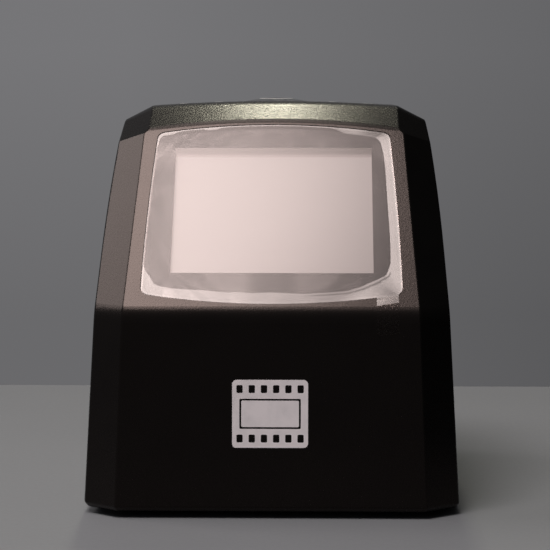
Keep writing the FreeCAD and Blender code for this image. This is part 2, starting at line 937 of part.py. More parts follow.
def front_shell():
    half_wall = envelope(wall / 2 - lip_gap)
    shell = outer.cut(cavity).common(block(-reach, reach, -reach, split_y, -reach, reach))
    shell = remove(lapped(shell, half_wall), cover_blocks(seam_gap))
    shell = remove(shell, [half_wall.common(place) for place in cover_blocks(lip_length)])
    bosses = base_bosses(front_boss_places(), -body_depth / 2) + top_bosses() + rear_bosses_on_front()
    face_bosses = [rod(display_boss_radius, display_back, -wall / 2, x, up) for x, up in display_boss_places()]
    bosses += [on_face(boss) for boss in face_bosses]
    shell = add(shell, [boss.common(middle) for boss in bosses])
    tools = [inlay_prism(inlay_gap).cut(envelope(inlay_thickness))] + key_holes(0)
    tools.append(on_face(lens_prism(lens_gap, recess_bottom, overrun)))
    tools.append(on_face(view_block(view_gap, -wall - overrun, overrun)))
    return remove(shell, tools + screw_holes_in_front())


def port_tools():
    rear = main_board_rear
    card = block(card_x - card_slot_half - port_gap, card_x + card_slot_half + port_gap, rear, rear + reach,
                 board_top, board_top + card_height + port_gap)
    usb = block(usb_x - usb_half - port_gap, usb_x + usb_half + port_gap, rear, rear + reach,
                board_top, board_top + usb_height + port_gap)
    jack = rod_back(jack_nose + port_gap, rear, rear + reach, jack_x, board_top + jack_height / 2)
    return [card, usb, jack]


def case_head_y():
    return rear_y(case_boss_z) - top_crown - screw_head_height


def rear_shell():
    start = split_y + seam_gap
    shell = outer.cut(cavity).common(block(-reach, reach, start, reach, -reach, reach))
    tongue_end = split_y - lip_length + seat_gap
    tongue = middle.cut(cavity).common(block(-reach, reach, tongue_end, start, -reach, reach))
    bosses = base_bosses(rear_boss_places(), body_depth / 2)
    for x in (-case_boss_x, case_boss_x):
        bosses.append(rod_back(boss_radius, split_y + seat_gap, body_depth / 2, x, case_boss_z))
    shell = add(shell, [tongue] + [boss.common(middle) for boss in bosses])
    tools = base_pilots(rear_boss_places()) + port_tools()
    for x in (-case_boss_x, case_boss_x):
        tools.append(rod_back(screw_radius + pilot_gap, 0, body_depth, x, case_boss_z))
        tools.append(rod_back(screw_head_radius + seat_gap, case_head_y(), body_depth, x, case_boss_z))
    return remove(shell, tools)


def case_screws():
    places = [V(x, case_head_y(), case_boss_z) for x in (-case_boss_x, case_boss_x)]
    return Part.makeCompound([screw(place, V(0, -1, 0), screw_length) for place in places])


# Film gates
def gate_plate(low, high):
    front = slot_front - rail_front_width
    rear = slot_rear + rail_rear_width
    plate = block(-gate_half, gate_half, front, rear, low, high)
    window = block(-window_half_x, window_half_x, optical_y - window_half_y, optical_y + window_half_y, low, high)
    return plate.cut(window)


def pin_places():
    return [pin_front_y, pin_rear_y]


def lower_gate():
    low = lower_gate_top - gate_thickness
    plate = gate_plate(low, lower_gate_top)
    front = slot_front - rail_front_width
    rear = slot_rear + rail_rear_width
    rails = [block(-gate_half, gate_half, front, slot_front, lower_gate_top, upper_gate_low)]
    rails.append(block(-gate_half, gate_half, slot_rear, rear, lower_gate_top, upper_gate_low))
    legs = []
    for x, y in leg_places():
        half_y = rail_front_width / 2 if y < 0 else rail_rear_width / 2
        legs.append(block(x - leg_width / 2, x + leg_width / 2, y - half_y, y + half_y, base_top, low))
    gate = add(plate, rails + legs)
    tools = [rod(pin_radius + moving_gap, low, lower_gate_top, 0, y) for y in pin_places()]
    for x, y in leg_places():
        tools.append(rod(screw_radius, base_top, base_top + screw_length, x, y))
        tools.append(rod(screw_radius, upper_gate_low - short_screw_length, upper_gate_low, x, y))
    return remove(gate, tools)


def upper_gate():
    gate = gate_plate(upper_gate_low, upper_gate_top)
    tools = [rod(screw_radius + pilot_gap, upper_gate_low, upper_gate_top, x, y) for x, y in leg_places()]
    tools += [rod(screw_radius, upper_gate_low, upper_gate_top, x, y) for x, y in frame_foot_places()]
    return remove(gate, tools)


def gate_screws():
    places = [V(x, y, upper_gate_top) for x, y in leg_places()]
    return Part.makeCompound([screw(place, V(0, 0, -1), short_screw_length) for place in places])


# Detent pins, their springs and the cups under the lower gate
def gate_under():
    return lower_gate_top - gate_thickness


def detent_pin(y):
    flange_top = gate_under() - pin_travel * rest_play_share
    stem = rod(pin_radius, flange_top, lower_gate_top + pin_rise, 0, y)
    stem = stem.makeFillet(pin_radius * pin_round_share, [e for e in stem.Edges if e.BoundBox.ZMin > lower_gate_top])
    flange = rod(pin_radius + pin_flange, flange_top - pin_flange_thickness, flange_top, 0, y)
    return stem.fuse(flange)


def spring_top():
    return gate_under() - pin_travel * rest_play_share - pin_flange_thickness


def cup_inside_floor():
    return gate_under() - cup_height + cup_floor


def detent_spring(y):
    return ring(pin_radius + pin_flange, pin_radius + pin_flange - spring_wall, cup_inside_floor(), spring_top(), 0, y)


def detent_cups():
    cups = []
    for y in pin_places():
        cup = rod(cup_radius, gate_under() - cup_height, gate_under(), 0, y)
        cups.append(cup.cut(rod(cup_radius - cup_wall, cup_inside_floor(), gate_under(), 0, y)))
    return Part.makeCompound(cups)


# Backlight
def backlight_board():
    return block(-backlight_board_half, backlight_board_half, backlight_board_front, backlight_board_rear,
                 base_top, base_top + board_thickness)


def backlight_leds():
    top = base_top + board_thickness
    middle_row = (led_rows - 1) / 2
    leds = []
    for i in range(led_rows):
        for j in range(led_rows):
            x = (i / middle_row - 1) * led_reach_x
            y = optical_y + (j / middle_row - 1) * led_reach_y
            leds.append(block(x - led_length / 2, x + led_length / 2, y - led_width / 2, y + led_width / 2,
                              top, top + led_height))
    return Part.makeCompound(leds)


def light_box():
    low = base_top + board_thickness
    high = gate_under() - diffuser_thickness
    box = block(-light_half_x, light_half_x, optical_y - light_half_y, optical_y + light_half_y, low, high)
    half_x = light_half_x - light_wall
    half_y = light_half_y - light_wall
    return box.cut(block(-half_x, half_x, optical_y - half_y, optical_y + half_y, low, high))


def diffuser():
    half_x = light_half_x - seat_gap
    half_y = light_half_y - seat_gap
    return block(-half_x, half_x, optical_y - half_y, optical_y + half_y, gate_under() - diffuser_thickness,
                 gate_under())


# Optical column
def rectangle(half_x, half_y, z):
    points = [V(-half_x, optical_y - half_y, z), V(half_x, optical_y - half_y, z)]
    points += [V(half_x, optical_y + half_y, z), V(-half_x, optical_y + half_y, z)]
    return Part.makePolygon(points + points[:1])


def light_shroud():
    low = upper_gate_top
    half_x = window_half_x + shroud_wall
    half_y = window_half_y + shroud_wall
    top_half = shroud_top_half
    skin = Part.makeLoft([rectangle(half_x, half_y, low), rectangle(top_half, top_half, holder_low)], True, True)
    space_x = half_x - shroud_wall
    space_y = half_y - shroud_wall
    top_space = top_half - shroud_wall
    wires = [rectangle(space_x, space_y, low), rectangle(top_space, top_space, holder_low)]
    space = Part.makeLoft(wires, True, True)
    flange_x = half_x + shroud_flange
    flange_y = half_y + shroud_flange
    flange = block(-flange_x, flange_x, optical_y - flange_y, optical_y + flange_y, low, low + shroud_wall)
    return skin.fuse(flange).cut(space)


def camera_block(half, low, high):
    return block(-half, half, optical_y - half, optical_y + half, low, high)


def lens_holder():
    plate = camera_block(holder_half, holder_low, holder_low + holder_plate)
    tube = rod(holder_radius, holder_low, camera_low, 0, optical_y)
    head = camera_block(camera_half, camera_low, sensor_board_z)
    holder = add(plate, [tube, head])
    bore = rod(barrel_radius + thread_gap, holder_low, barrel_high + thread_gap, 0, optical_y)
    light_way = rod(filter_half * stop_share, holder_low, sensor_board_z, 0, optical_y)
    filter_seat = camera_block(filter_half + seat_gap, camera_low, camera_low + filter_thickness)
    sensor_space = camera_block(camera_bore_half, camera_low + filter_thickness, sensor_board_z)
    return remove(holder, [bore, light_way, filter_seat, sensor_space] + camera_pilots())


def camera_screw_places():
    edge = (camera_half + camera_bore_half) / 2
    return [V(-edge, optical_y - edge, 0), V(edge, optical_y + edge, 0)]


def camera_pilots():
    low = sensor_board_z - camera_half / 2
    return [rod(screw_radius * small_screw_share, low, sensor_board_z, p.x, p.y) for p in camera_screw_places()]


def lens_barrel():
    return ring(barrel_radius, barrel_bore, barrel_low, barrel_high, 0, optical_y)


def lens_elements():
    spacing = barrel_length / (element_count + 1)
    elements = []
    for i in range(element_count):
        z = barrel_low + spacing * (i + 1)
        disc = rod(barrel_bore, z - element_edge / 2, z + element_edge / 2, 0, optical_y)
        dome = Part.makeSphere(2 * barrel_bore, V(0, optical_y, z + element_edge - 2 * barrel_bore))
        elements.append(disc.common(dome))
    return Part.makeCompound(elements)


def infrared_filter():
    return camera_block(filter_half, camera_low, camera_low + filter_thickness)


def image_sensor():
    return camera_block(sensor_half, sensor_board_z - sensor_thickness, sensor_board_z)


def sensor_board():
    half = camera_half + sensor_margin
    board = block(-half, half, optical_y - half, optical_y + half + connector_length, sensor_board_z,
                  sensor_board_z + board_thickness)
    return remove(board, [rod(screw_radius * small_screw_share + pilot_gap, sensor_board_z, sensor_board_z + overrun,
                              p.x, p.y) for p in camera_screw_places()])


def sensor_screws():
    top = sensor_board_z + board_thickness
    radius = screw_radius * small_screw_share
    screws = []
    for p in camera_screw_places():
        shank = rod(radius, top - camera_half / 2, top, p.x, p.y)
        screws.append(shank.fuse(rod(2 * radius, top, top + radius, p.x, p.y)))
    return Part.makeCompound(screws)


# Inner frame that carries the main board
def frame_leg_places():
    return [(x, y) for x in (-frame_leg_x, frame_leg_x) for y in (frame_leg_front, frame_leg_rear)]


def frame_foot_places():
    reach_out = frame_leg_width / 2 + screw_head_radius
    return [(x + math.copysign(reach_out, x), y) for x, y in frame_leg_places()]


def inner_frame():
    low = main_board_z - frame_thickness
    half = frame_leg_width / 2
    front = main_board_front
    rear = frame_leg_rear + half + wall
    plate = block(-main_board_half, main_board_half, front, rear, low, main_board_z)
    inside = frame_leg_x - half - wall
    plate = plate.cut(block(-inside, inside, frame_leg_front, frame_leg_rear - half, low, main_board_z))
    notch = sensor_ribbon_half + 2 * ribbon_clear
    plate = plate.cut(block(-notch, notch, frame_leg_front, rear, low, main_board_z))
    pieces = []
    for x, y in frame_leg_places():
        pieces.append(block(x - half, x + half, y - half, y + half, upper_gate_top, low))
        out = x + math.copysign(half + 2 * screw_head_radius, x)
        near, far = sorted((x, out))
        pieces.append(block(near, far, y - half, y + half, upper_gate_top, upper_gate_top + wall))
    frame = add(plate, pieces)
    tools = [rod(screw_radius + pilot_gap, upper_gate_low, upper_gate_top + wall, x, y) for x, y in frame_foot_places()]
    tools += [rod(screw_radius, main_board_z - screw_length, main_board_z, x, y) for x, y in frame_leg_places()]
    return remove(frame, tools)


def frame_screws():
    top = upper_gate_top + wall
    length = gate_thickness + wall
    return Part.makeCompound([screw(V(x, y, top), V(0, 0, -1), length) for x, y in frame_foot_places()])


# Main board, its sockets and what is soldered to it
def main_board():
    board = block(-main_board_half, main_board_half, main_board_front, main_board_rear, main_board_z, board_top)
    holes = [rod(screw_radius + pilot_gap, main_board_z, board_top, x, y) for x, y in frame_leg_places()]
    return remove(board, holes)


def main_board_screws():
    places = [V(x, y, board_top) for x, y in frame_leg_places()]
    return Part.makeCompound([screw(place, V(0, 0, -1), short_screw_length) for place in places])


def board_chip(x, y, half_x, half_y):
    return block(x - half_x, x + half_x, y - half_y, y + half_y, board_top, board_top + chip_height)


def board_chips():
    """The processor and its memory."""
    processor = board_chip(processor_x, processor_y, processor_half, processor_half)
    return Part.makeCompound([processor, board_chip(memory_x, memory_y, memory_half_x, memory_half_y)])


def capacitors():
    cans = []
    for i in range(2):
        y = capacitor_y + i * capacitor_pitch
        cans.append(rod(capacitor_radius, board_top, board_top + capacitor_height, capacitor_x, y))
    return Part.makeCompound(cans)


def nose_rear():
    return rear_y(board_top + jack_height) - socket_face_gap


def body_rear():
    return rear_y(board_top + jack_height) - wall - top_crown - seat_gap


def card_socket():
    rear = body_rear()
    front = key_ribbon_end + connector_length + card_front_gap
    body = block(card_x - card_half, card_x + card_half, front, rear, board_top, board_top + card_height)
    low = board_top + (card_height - card_slot_height) / 2
    slot = block(card_x - card_slot_half, card_x + card_slot_half, front + card_slot_floor, rear, low,
                 low + card_slot_height)
    return body.cut(slot)


def usb_socket():
    rear = nose_rear()
    half = usb_half
    body = block(usb_x - half, usb_x + half, rear - usb_length, rear, board_top, board_top + usb_height)
    inner = half - usb_skin
    opening = block(usb_x - inner, usb_x + inner, rear - usb_length + usb_height, rear, board_top + usb_skin,
                    board_top + usb_height - usb_skin)
    middle_z = board_top + usb_height / 2
    tongue = block(usb_x - usb_tongue_half, usb_x + usb_tongue_half, rear - usb_length + usb_height,
                   rear - usb_tongue_height, middle_z - usb_tongue_height / 2, middle_z + usb_tongue_height / 2)
    return body.cut(opening).fuse(tongue)


def video_jack():
    rear = body_rear()
    front = nose_rear() - jack_length
    z = board_top + jack_height / 2
    body = block(jack_x - jack_half, jack_x + jack_half, front, rear, board_top, board_top + jack_height)
    nose = rod_back(jack_nose, front, nose_rear(), jack_x, z)
    return body.fuse(nose).cut(rod_back(jack_bore, front + jack_wall, nose_rear(), jack_x, z))


def board_connectors():
    """Ribbon connectors on the top and the underside of the main board."""
    front = main_board_front + connector_inset
    half = ribbon_half + ribbon_clear
    pieces = [block(-half, half, front, front + connector_length, board_top, board_top + connector_height)]
    key_front = key_ribbon_end
    pieces.append(block(key_ribbon_x - key_ribbon_half - ribbon_clear, key_ribbon_x + key_ribbon_half + ribbon_clear,
                        key_front, key_front + connector_length, board_top, board_top + connector_height))
    half = sensor_ribbon_half + ribbon_clear
    pieces.append(block(-half, half, sensor_ribbon_end - connector_length, sensor_ribbon_end,
                        main_board_z - connector_height, main_board_z))
    return Part.makeCompound(pieces)


def sensor_ribbon():
    low = sensor_board_z + board_thickness + ribbon_thickness / 2
    high = main_board_z - connector_height / 2
    start = optical_y + camera_half + sensor_margin
    points = [V(start, low, 0), V(sensor_ribbon_out, low, 0), V(sensor_ribbon_out, high, 0)]
    points.append(V(sensor_ribbon_end, high, 0))
    return strip(points, -sensor_ribbon_half, sensor_ribbon_half, ribbon_thickness, ribbon_bend)


def key_ribbon():
    high = key_board_z - ribbon_thickness / 2
    low = board_top + connector_height / 2
    points = [V(key_ribbon_start, high, 0), V(key_ribbon_front, high, 0), V(key_ribbon_front, low, 0)]
    points.append(V(key_ribbon_end, low, 0))
    low_x = key_ribbon_x - key_ribbon_half
    return strip(points, low_x, low_x + 2 * key_ribbon_half, ribbon_thickness, ribbon_bend)


def backlight_lead():
    low = base_top + board_thickness + ribbon_thickness / 2
    high = board_top + connector_height / 2
    points = [V(backlight_board_rear - connector_length, low, 0), V(wire_y, low, 0), V(wire_y, high, 0)]
    points.append(V(wire_y - connector_length, high, 0))
    return strip(points, wire_x - wire_width / 2, wire_x + wire_width / 2, ribbon_thickness, ribbon_bend)


# Keys, their switches and the key board
def key_board():
    high = key_board_z + board_thickness
    board = block(-key_board_half, key_board_half, key_board_front, key_board_rear, key_board_z, high)
    return remove(board, [rod(screw_radius + pilot_gap, key_board_z, high, x, y) for x, y in key_board_boss_places()])


def key_board_screws():
    places = [V(x, y, key_board_z) for x, y in key_board_boss_places()]
    return Part.makeCompound([screw(place, V(0, 0, 1), short_screw_length) for place in places])


def key_switches():
    switches = []
    for x, _ in key_places():
        body = block(x - switch_half, x + switch_half, key_row_y - switch_half, key_row_y + switch_half, switch_low,
                     switch_top)
        well = rod(plunger_radius + moving_gap, switch_top - plunger_depth - key_travel, switch_top, x, key_row_y)
        switches.append(body.cut(well))
    return Part.makeCompound(switches)


def plunger(x):
    return rod(plunger_radius, switch_top - plunger_depth + plunger_rest, switch_top + plunger_rise, x, key_row_y)


def key(x, radius, rise):
    cap = rod(radius, body_height - key_skirt, body_height + overrun, x, key_row_y)
    if rise:
        sphere_radius = (radius ** 2 + rise ** 2) / (2 * rise)
        top = body_height + rise
        cap = cap.common(Part.makeSphere(sphere_radius, V(x, key_row_y, top - sphere_radius)))
    else:
        cap = cap.common(envelope(0))
    flange_top = body_height - key_skirt
    flange = rod(radius + moving_gap + key_flange, flange_top - key_flange_thickness, flange_top, x, key_row_y)
    stem = rod(plunger_radius + pin_flange, switch_top + plunger_rise, flange_top, x, key_row_y)
    return cap.multiFuse([flange, stem]).removeSplitter()


pieces = {
    "front_shell": front_shell,
    "side_covers": side_covers,
    "rear_shell": rear_shell,
    "base_plate": base_plate,
    "rubber_feet": rubber_feet,
    "base_screws": base_screws,
    "case_screws": case_screws,
    "display_window": display_window,
    "window_mask": window_mask,
    "window_adhesive": window_adhesive,
    "protective_film": protective_film,
    "window_gasket": window_gasket,
    "display_panel": display_panel,
    "display_backlight": display_backlight,
    "display_frame": display_frame,
    "display_bracket": display_bracket,
    "display_screws": display_screws,
    "display_ribbon": display_ribbon,
    "lower_gate": lower_gate,
    "upper_gate": upper_gate,
    "gate_screws": gate_screws,
    "detent_cups": detent_cups,
    "backlight_board": backlight_board,
    "backlight_leds": backlight_leds,
    "backlight_lead": backlight_lead,
    "light_box": light_box,
    "diffuser": diffuser,
    "light_shroud": light_shroud,
    "lens_holder": lens_holder,
    "lens_barrel": lens_barrel,
    "lens_elements": lens_elements,
    "infrared_filter": infrared_filter,
    "image_sensor": image_sensor,
    "sensor_board": sensor_board,
    "sensor_screws": sensor_screws,
    "sensor_ribbon": sensor_ribbon,
    "inner_frame": inner_frame,
    "frame_screws": frame_screws,
    "main_board": main_board,
    "main_board_screws": main_board_screws,
    "board_connectors": board_connectors,
    "board_chips": board_chips,
    "capacitors": capacitors,
    "card_socket": card_socket,
    "usb_socket": usb_socket,
    "video_jack": video_jack,
    "key_panel": key_panel,
    "key_board": key_board,
    "key_board_screws": key_board_screws,
    "key_switches": key_switches,
    "key_ribbon": key_ribbon,
}

shapes = {name: make() for name, make in pieces.items()}
shapes["front_detent_pin"] = detent_pin(pin_front_y)
shapes["rear_detent_pin"] = detent_pin(pin_rear_y)
shapes["front_detent_spring"] = detent_spring(pin_front_y)
shapes["rear_detent_spring"] = detent_spring(pin_rear_y)
key_sizes = {
    "home": (-small_x, small_radius, 0),
    "left": (-arrow_x, arrow_radius, 0),
    "ok": (0, ok_radius, ok_rise),
    "right": (arrow_x, arrow_radius, 0),
    "power": (small_x, small_radius, 0),
}
for name, (x, radius, rise) in key_sizes.items():
    cap = key(x, radius, rise)
    shapes[name + "_key"] = cap.fuse(plunger(x)).removeSplitter()

os.makedirs("parts", exist_ok=True)
for name, shape in shapes.items():
    print(name, "valid" if shape.isValid() else "broken", len(shape.Solids), round(shape.Volume, 1))
    shape.exportStep("parts/" + name + ".step")
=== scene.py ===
import math

import bpy
from mathutils import Euler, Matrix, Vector


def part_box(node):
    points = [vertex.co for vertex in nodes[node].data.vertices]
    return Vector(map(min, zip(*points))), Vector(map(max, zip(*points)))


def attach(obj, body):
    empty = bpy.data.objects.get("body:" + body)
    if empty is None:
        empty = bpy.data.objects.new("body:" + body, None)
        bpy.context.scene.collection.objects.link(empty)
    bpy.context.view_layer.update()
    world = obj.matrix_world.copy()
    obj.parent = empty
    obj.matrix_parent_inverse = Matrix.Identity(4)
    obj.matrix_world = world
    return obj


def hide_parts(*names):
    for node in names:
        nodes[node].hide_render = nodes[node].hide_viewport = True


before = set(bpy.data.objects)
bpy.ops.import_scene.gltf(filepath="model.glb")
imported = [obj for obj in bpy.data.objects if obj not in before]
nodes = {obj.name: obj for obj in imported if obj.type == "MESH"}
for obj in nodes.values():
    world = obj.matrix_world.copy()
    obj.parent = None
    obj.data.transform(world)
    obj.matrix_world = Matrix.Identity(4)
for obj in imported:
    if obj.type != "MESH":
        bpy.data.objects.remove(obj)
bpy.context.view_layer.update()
print("frame loaded,", len(nodes), "nodes")


# Shader maths as Python expressions
class Shade:
    def __init__(self, tree, socket=None):
        self.tree = tree
        self.socket = socket

    def node(self, kind, settings=None, values=None, out=0):
        made = self.tree.nodes.new(kind)
        for name, value in (settings or {}).items():
            setattr(made, name, value)
        for name, value in (values or {}).items():
            socket = made.inputs[name]
            if isinstance(value, Shade):
                self.tree.links.new(value.socket, socket)
            elif socket.type == "RGBA" and len(value) == 3:
                socket.default_value = (*value, 1)
            else:
                socket.default_value = value
        return Shade(self.tree, made.outputs[out]) if made.outputs else None

    def maths(self, operation, other, swapped=False):
        first, second = (other, self) if swapped else (self, other)
        return self.node("ShaderNodeMath", {"operation": operation}, {0: first, 1: second})

    def __add__(self, other):
        return self.maths("ADD", other)

    def __sub__(self, other):
        return self.maths("SUBTRACT", other)

    def __rsub__(self, other):
        return self.maths("SUBTRACT", other, True)

    def __mul__(self, other):
        return self.maths("MULTIPLY", other)

    def __pow__(self, other):
        return self.maths("POWER", other)

    __radd__ = __add__
    __rmul__ = __mul__


def newMaterial(name):
    material = bpy.data.materials.new(name)
    material.use_nodes = True
    material.node_tree.nodes.clear()
    return material, Shade(material.node_tree)


def placeOn(shade, stretch=(1, 1, 1)):
    spot = shade.node("ShaderNodeTexCoord", out="Object")
    if stretch == (1, 1, 1):
        return spot
    return shade.node("ShaderNodeMapping", None, {"Vector": spot, "Scale": stretch})


def noise(shade, spot, size, detail=2.0, roughness=0.5):
    values = {"Vector": spot, "Scale": 1 / size, "Detail": detail, "Roughness": roughness}
    return shade.node("ShaderNodeTexNoise", None, values, "Fac")


def cells(shade, spot, size):
    return shade.node("ShaderNodeTexVoronoi", None, {"Vector": spot, "Scale": 1 / size}, "Distance")


def ranged(shade, value, low, high):
    return shade.node("ShaderNodeMapRange", None, {"Value": value, "From Min": low, "From Max": high})


def mixColors(shade, share, first, second):
    return shade.node("ShaderNodeMix", {"data_type": "RGBA"}, {0: share, 6: first, 7: second}, 2)


def bump(shade, height, depth, strength=1.0):
    return shade.node("ShaderNodeBump", None, {"Height": height, "Distance": depth, "Strength": strength})


def surface(shade, values):
    made = shade.node("ShaderNodeBsdfPrincipled", None, values, "BSDF")
    shade.node("ShaderNodeOutputMaterial", None, {"Surface": made})


# Moulded plastics: a fine spark-eroded grain, a little unevenness in tone and gloss
moulding = {"pitRatio": 1.7, "grainShare": 0.7, "pitShare": 0.5, "grainGloss": 0.08, "patchFrom": 0.3, "patchTo": 0.7}


def mouldedPlastic(name, look):
    material, shade = newMaterial(name)
    spot = placeOn(shade)
    grain = noise(shade, spot, look["grainSize"], 3.0, 0.6)
    pits = cells(shade, spot, look["grainSize"] * moulding["pitRatio"])
    patches = noise(shade, spot, look["patchSize"], 4.0)
    worn = ranged(shade, patches, moulding["patchFrom"], moulding["patchTo"])
    gloss = look["roughness"] + (patches - 0.5) * look["roughnessSpread"] + (grain - 0.5) * moulding["grainGloss"]
    height = grain * moulding["grainShare"] + pits * moulding["pitShare"]
    surface(shade, {
        "Base Color": mixColors(shade, worn, look["color"], look["colorWorn"]),
        "Roughness": gloss,
        "IOR": look["ior"],
        "Specular Tint": look["specularTint"],
        "Normal": bump(shade, height, look["grainDepth"]),
    })
    return material


caseLook = {
    "color": (0.0016, 0.0016, 0.0016), "colorWorn": (0.0022, 0.0021, 0.002), "grainSize": 0.0003,
    "grainDepth": 0.000012, "patchSize": 0.012, "roughness": 0.27, "roughnessSpread": 0.04, "ior": 1.31,
    "specularTint": (1.0, 0.79, 0.73),
}
baseLook = {
    "color": (0.013, 0.013, 0.013), "colorWorn": (0.019, 0.019, 0.018), "grainSize": 0.0005,
    "grainDepth": 0.00004, "patchSize": 0.02, "roughness": 0.6, "roughnessSpread": 0.1, "ior": 1.5,
    "specularTint": (1.0, 1.0, 1.0),
}
innerLook = {
    "color": (0.018, 0.018, 0.019), "colorWorn": (0.03, 0.03, 0.03), "grainSize": 0.0003,
    "grainDepth": 0.00002, "patchSize": 0.008, "roughness": 0.5, "roughnessSpread": 0.12, "ior": 1.5,
    "specularTint": (1.0, 1.0, 1.0),
}
lightBoxLook = {
    "color": (0.78, 0.77, 0.74), "colorWorn": (0.7, 0.69, 0.65), "grainSize": 0.0004,
    "grainDepth": 0.00001, "patchSize": 0.006, "roughness": 0.45, "roughnessSpread": 0.1, "ior": 1.5,
    "specularTint": (1.0, 1.0, 1.0),
}
casePlastic = mouldedPlastic("casePlastic", caseLook)
basePlastic = mouldedPlastic("basePlastic", baseLook)
innerPlastic = mouldedPlastic("innerPlastic", innerLook)
lightPlastic = mouldedPlastic("lightPlastic", lightBoxLook)


# Gloss plastic of the keys and of the panel round them, with hairline scratches and faint finger marks
handling = {"alongStretch": (1, 14, 1), "alongFrom": 0.66, "alongTo": 0.74, "acrossStretch": (11, 1, 1),
            "acrossRatio": 1.3, "acrossFrom": 0.68, "acrossTo": 0.76, "marksFrom": 0.48, "marksTo": 0.7,
            "scratchGloss": 0.12, "scratchDepth": 0.000003, "scratchStrength": 0.4, "coatRoughness": 0.06}


def glossPlastic(name, look):
    material, shade = newMaterial(name)
    spot = placeOn(shade)
    along = noise(shade, placeOn(shade, handling["alongStretch"]), look["scratchSize"], 2.0)
    across = noise(shade, placeOn(shade, handling["acrossStretch"]), look["scratchSize"] * handling["acrossRatio"], 2.0)
    alongLines = ranged(shade, along, handling["alongFrom"], handling["alongTo"])
    scratches = alongLines + ranged(shade, across, handling["acrossFrom"], handling["acrossTo"])
    marks = ranged(shade, noise(shade, spot, look["markSize"], 5.0), handling["marksFrom"], handling["marksTo"])
    surface(shade, {
        "Base Color": mixColors(shade, marks, look["color"], look["colorMarked"]),
        "Roughness": look["roughness"] + marks * look["markRoughness"] + scratches * handling["scratchGloss"],
        "Normal": bump(shade, scratches, handling["scratchDepth"], handling["scratchStrength"]),
        "Coat Weight": look["coat"],
        "Coat Roughness": handling["coatRoughness"],
    })
    return material


panelLook = {"color": (0.007, 0.007, 0.008), "colorMarked": (0.012, 0.012, 0.012), "roughness": 0.14,
             "markRoughness": 0.14, "markSize": 0.006, "scratchSize": 0.004, "coat": 0.6}
keyLook = {"color": (0.02, 0.02, 0.022), "colorMarked": (0.028, 0.028, 0.029), "roughness": 0.2,
           "markRoughness": 0.12, "markSize": 0.003, "scratchSize": 0.0025, "coat": 0.4}
panelPlastic = glossPlastic("panelPlastic", panelLook)
keyPlastic = glossPlastic("keyPlastic", keyLook)


# Rubber, foam and tape, with dust on them
dusting = {"from": 0.5, "to": 0.75, "roughness": 0.1}


def softMaterial(name, look):
    material, shade = newMaterial(name)
    spot = placeOn(shade)
    pores = cells(shade, spot, look["poreSize"])
    dust = ranged(shade, noise(shade, spot, look["dustSize"], 5.0), dusting["from"], dusting["to"])
    surface(shade, {
        "Base Color": mixColors(shade, dust, look["color"], look["colorDusty"]),
        "Roughness": look["roughness"] + dust * dusting["roughness"],
        "Normal": bump(shade, pores, look["poreDepth"]),
    })
    return material


rubberLook = {"color": (0.02, 0.02, 0.021), "colorDusty": (0.075, 0.072, 0.068), "poreSize": 0.0003,
              "poreDepth": 0.00002, "dustSize": 0.0025, "roughness": 0.75}
foamLook = {"color": (0.03, 0.03, 0.032), "colorDusty": (0.05, 0.05, 0.05), "poreSize": 0.0002,
            "poreDepth": 0.00006, "dustSize": 0.002, "roughness": 0.9}
footRubber = softMaterial("footRubber", rubberLook)
gasketFoam = softMaterial("gasketFoam", foamLook)


# Metals: drawn, turned or plated, with lines along one axis and a dull bloom
plating = {"bloomFrom": 0.45, "bloomTo": 0.7, "bloomRoughness": 0.12, "lineRoughness": 0.15}


def metal(name, look):
    material, shade = newMaterial(name)
    spot = placeOn(shade)
    lines = noise(shade, placeOn(shade, look["lineStretch"]), look["lineSize"], 3.0)
    bloom = ranged(shade, noise(shade, spot, look["bloomSize"], 4.0), plating["bloomFrom"], plating["bloomTo"])
    dullness = look["roughness"] + bloom * plating["bloomRoughness"] + (lines - 0.5) * plating["lineRoughness"]
    surface(shade, {
        "Base Color": mixColors(shade, bloom, look["color"], look["colorDull"]),
        "Metallic": 1.0,
        "Roughness": dullness,
        "Normal": bump(shade, lines, look["lineDepth"]),
    })
    return material


steelLook = {"color": (0.6, 0.59, 0.57), "colorDull": (0.42, 0.41, 0.39), "lineStretch": (1, 1, 12),
             "lineSize": 0.0005, "lineDepth": 0.000008, "bloomSize": 0.0015, "roughness": 0.28}
sheetLook = {"color": (0.72, 0.71, 0.69), "colorDull": (0.5, 0.49, 0.47), "lineStretch": (1, 16, 1),
             "lineSize": 0.0012, "lineDepth": 0.000006, "bloomSize": 0.004, "roughness": 0.3}
brassLook = {"color": (0.75, 0.6, 0.32), "colorDull": (0.5, 0.38, 0.2), "lineStretch": (1, 1, 14),
             "lineSize": 0.0006, "lineDepth": 0.000008, "bloomSize": 0.001, "roughness": 0.25}
canLook = {"color": (0.66, 0.67, 0.69), "colorDull": (0.5, 0.51, 0.53), "lineStretch": (1, 1, 10),
           "lineSize": 0.0008, "lineDepth": 0.000006, "bloomSize": 0.002, "roughness": 0.32}
screwSteel = metal("screwSteel", steelLook)
sheetMetal = metal("sheetMetal", sheetLook)
pinBrass = metal("pinBrass", brassLook)
canMetal = metal("canMetal", canLook)


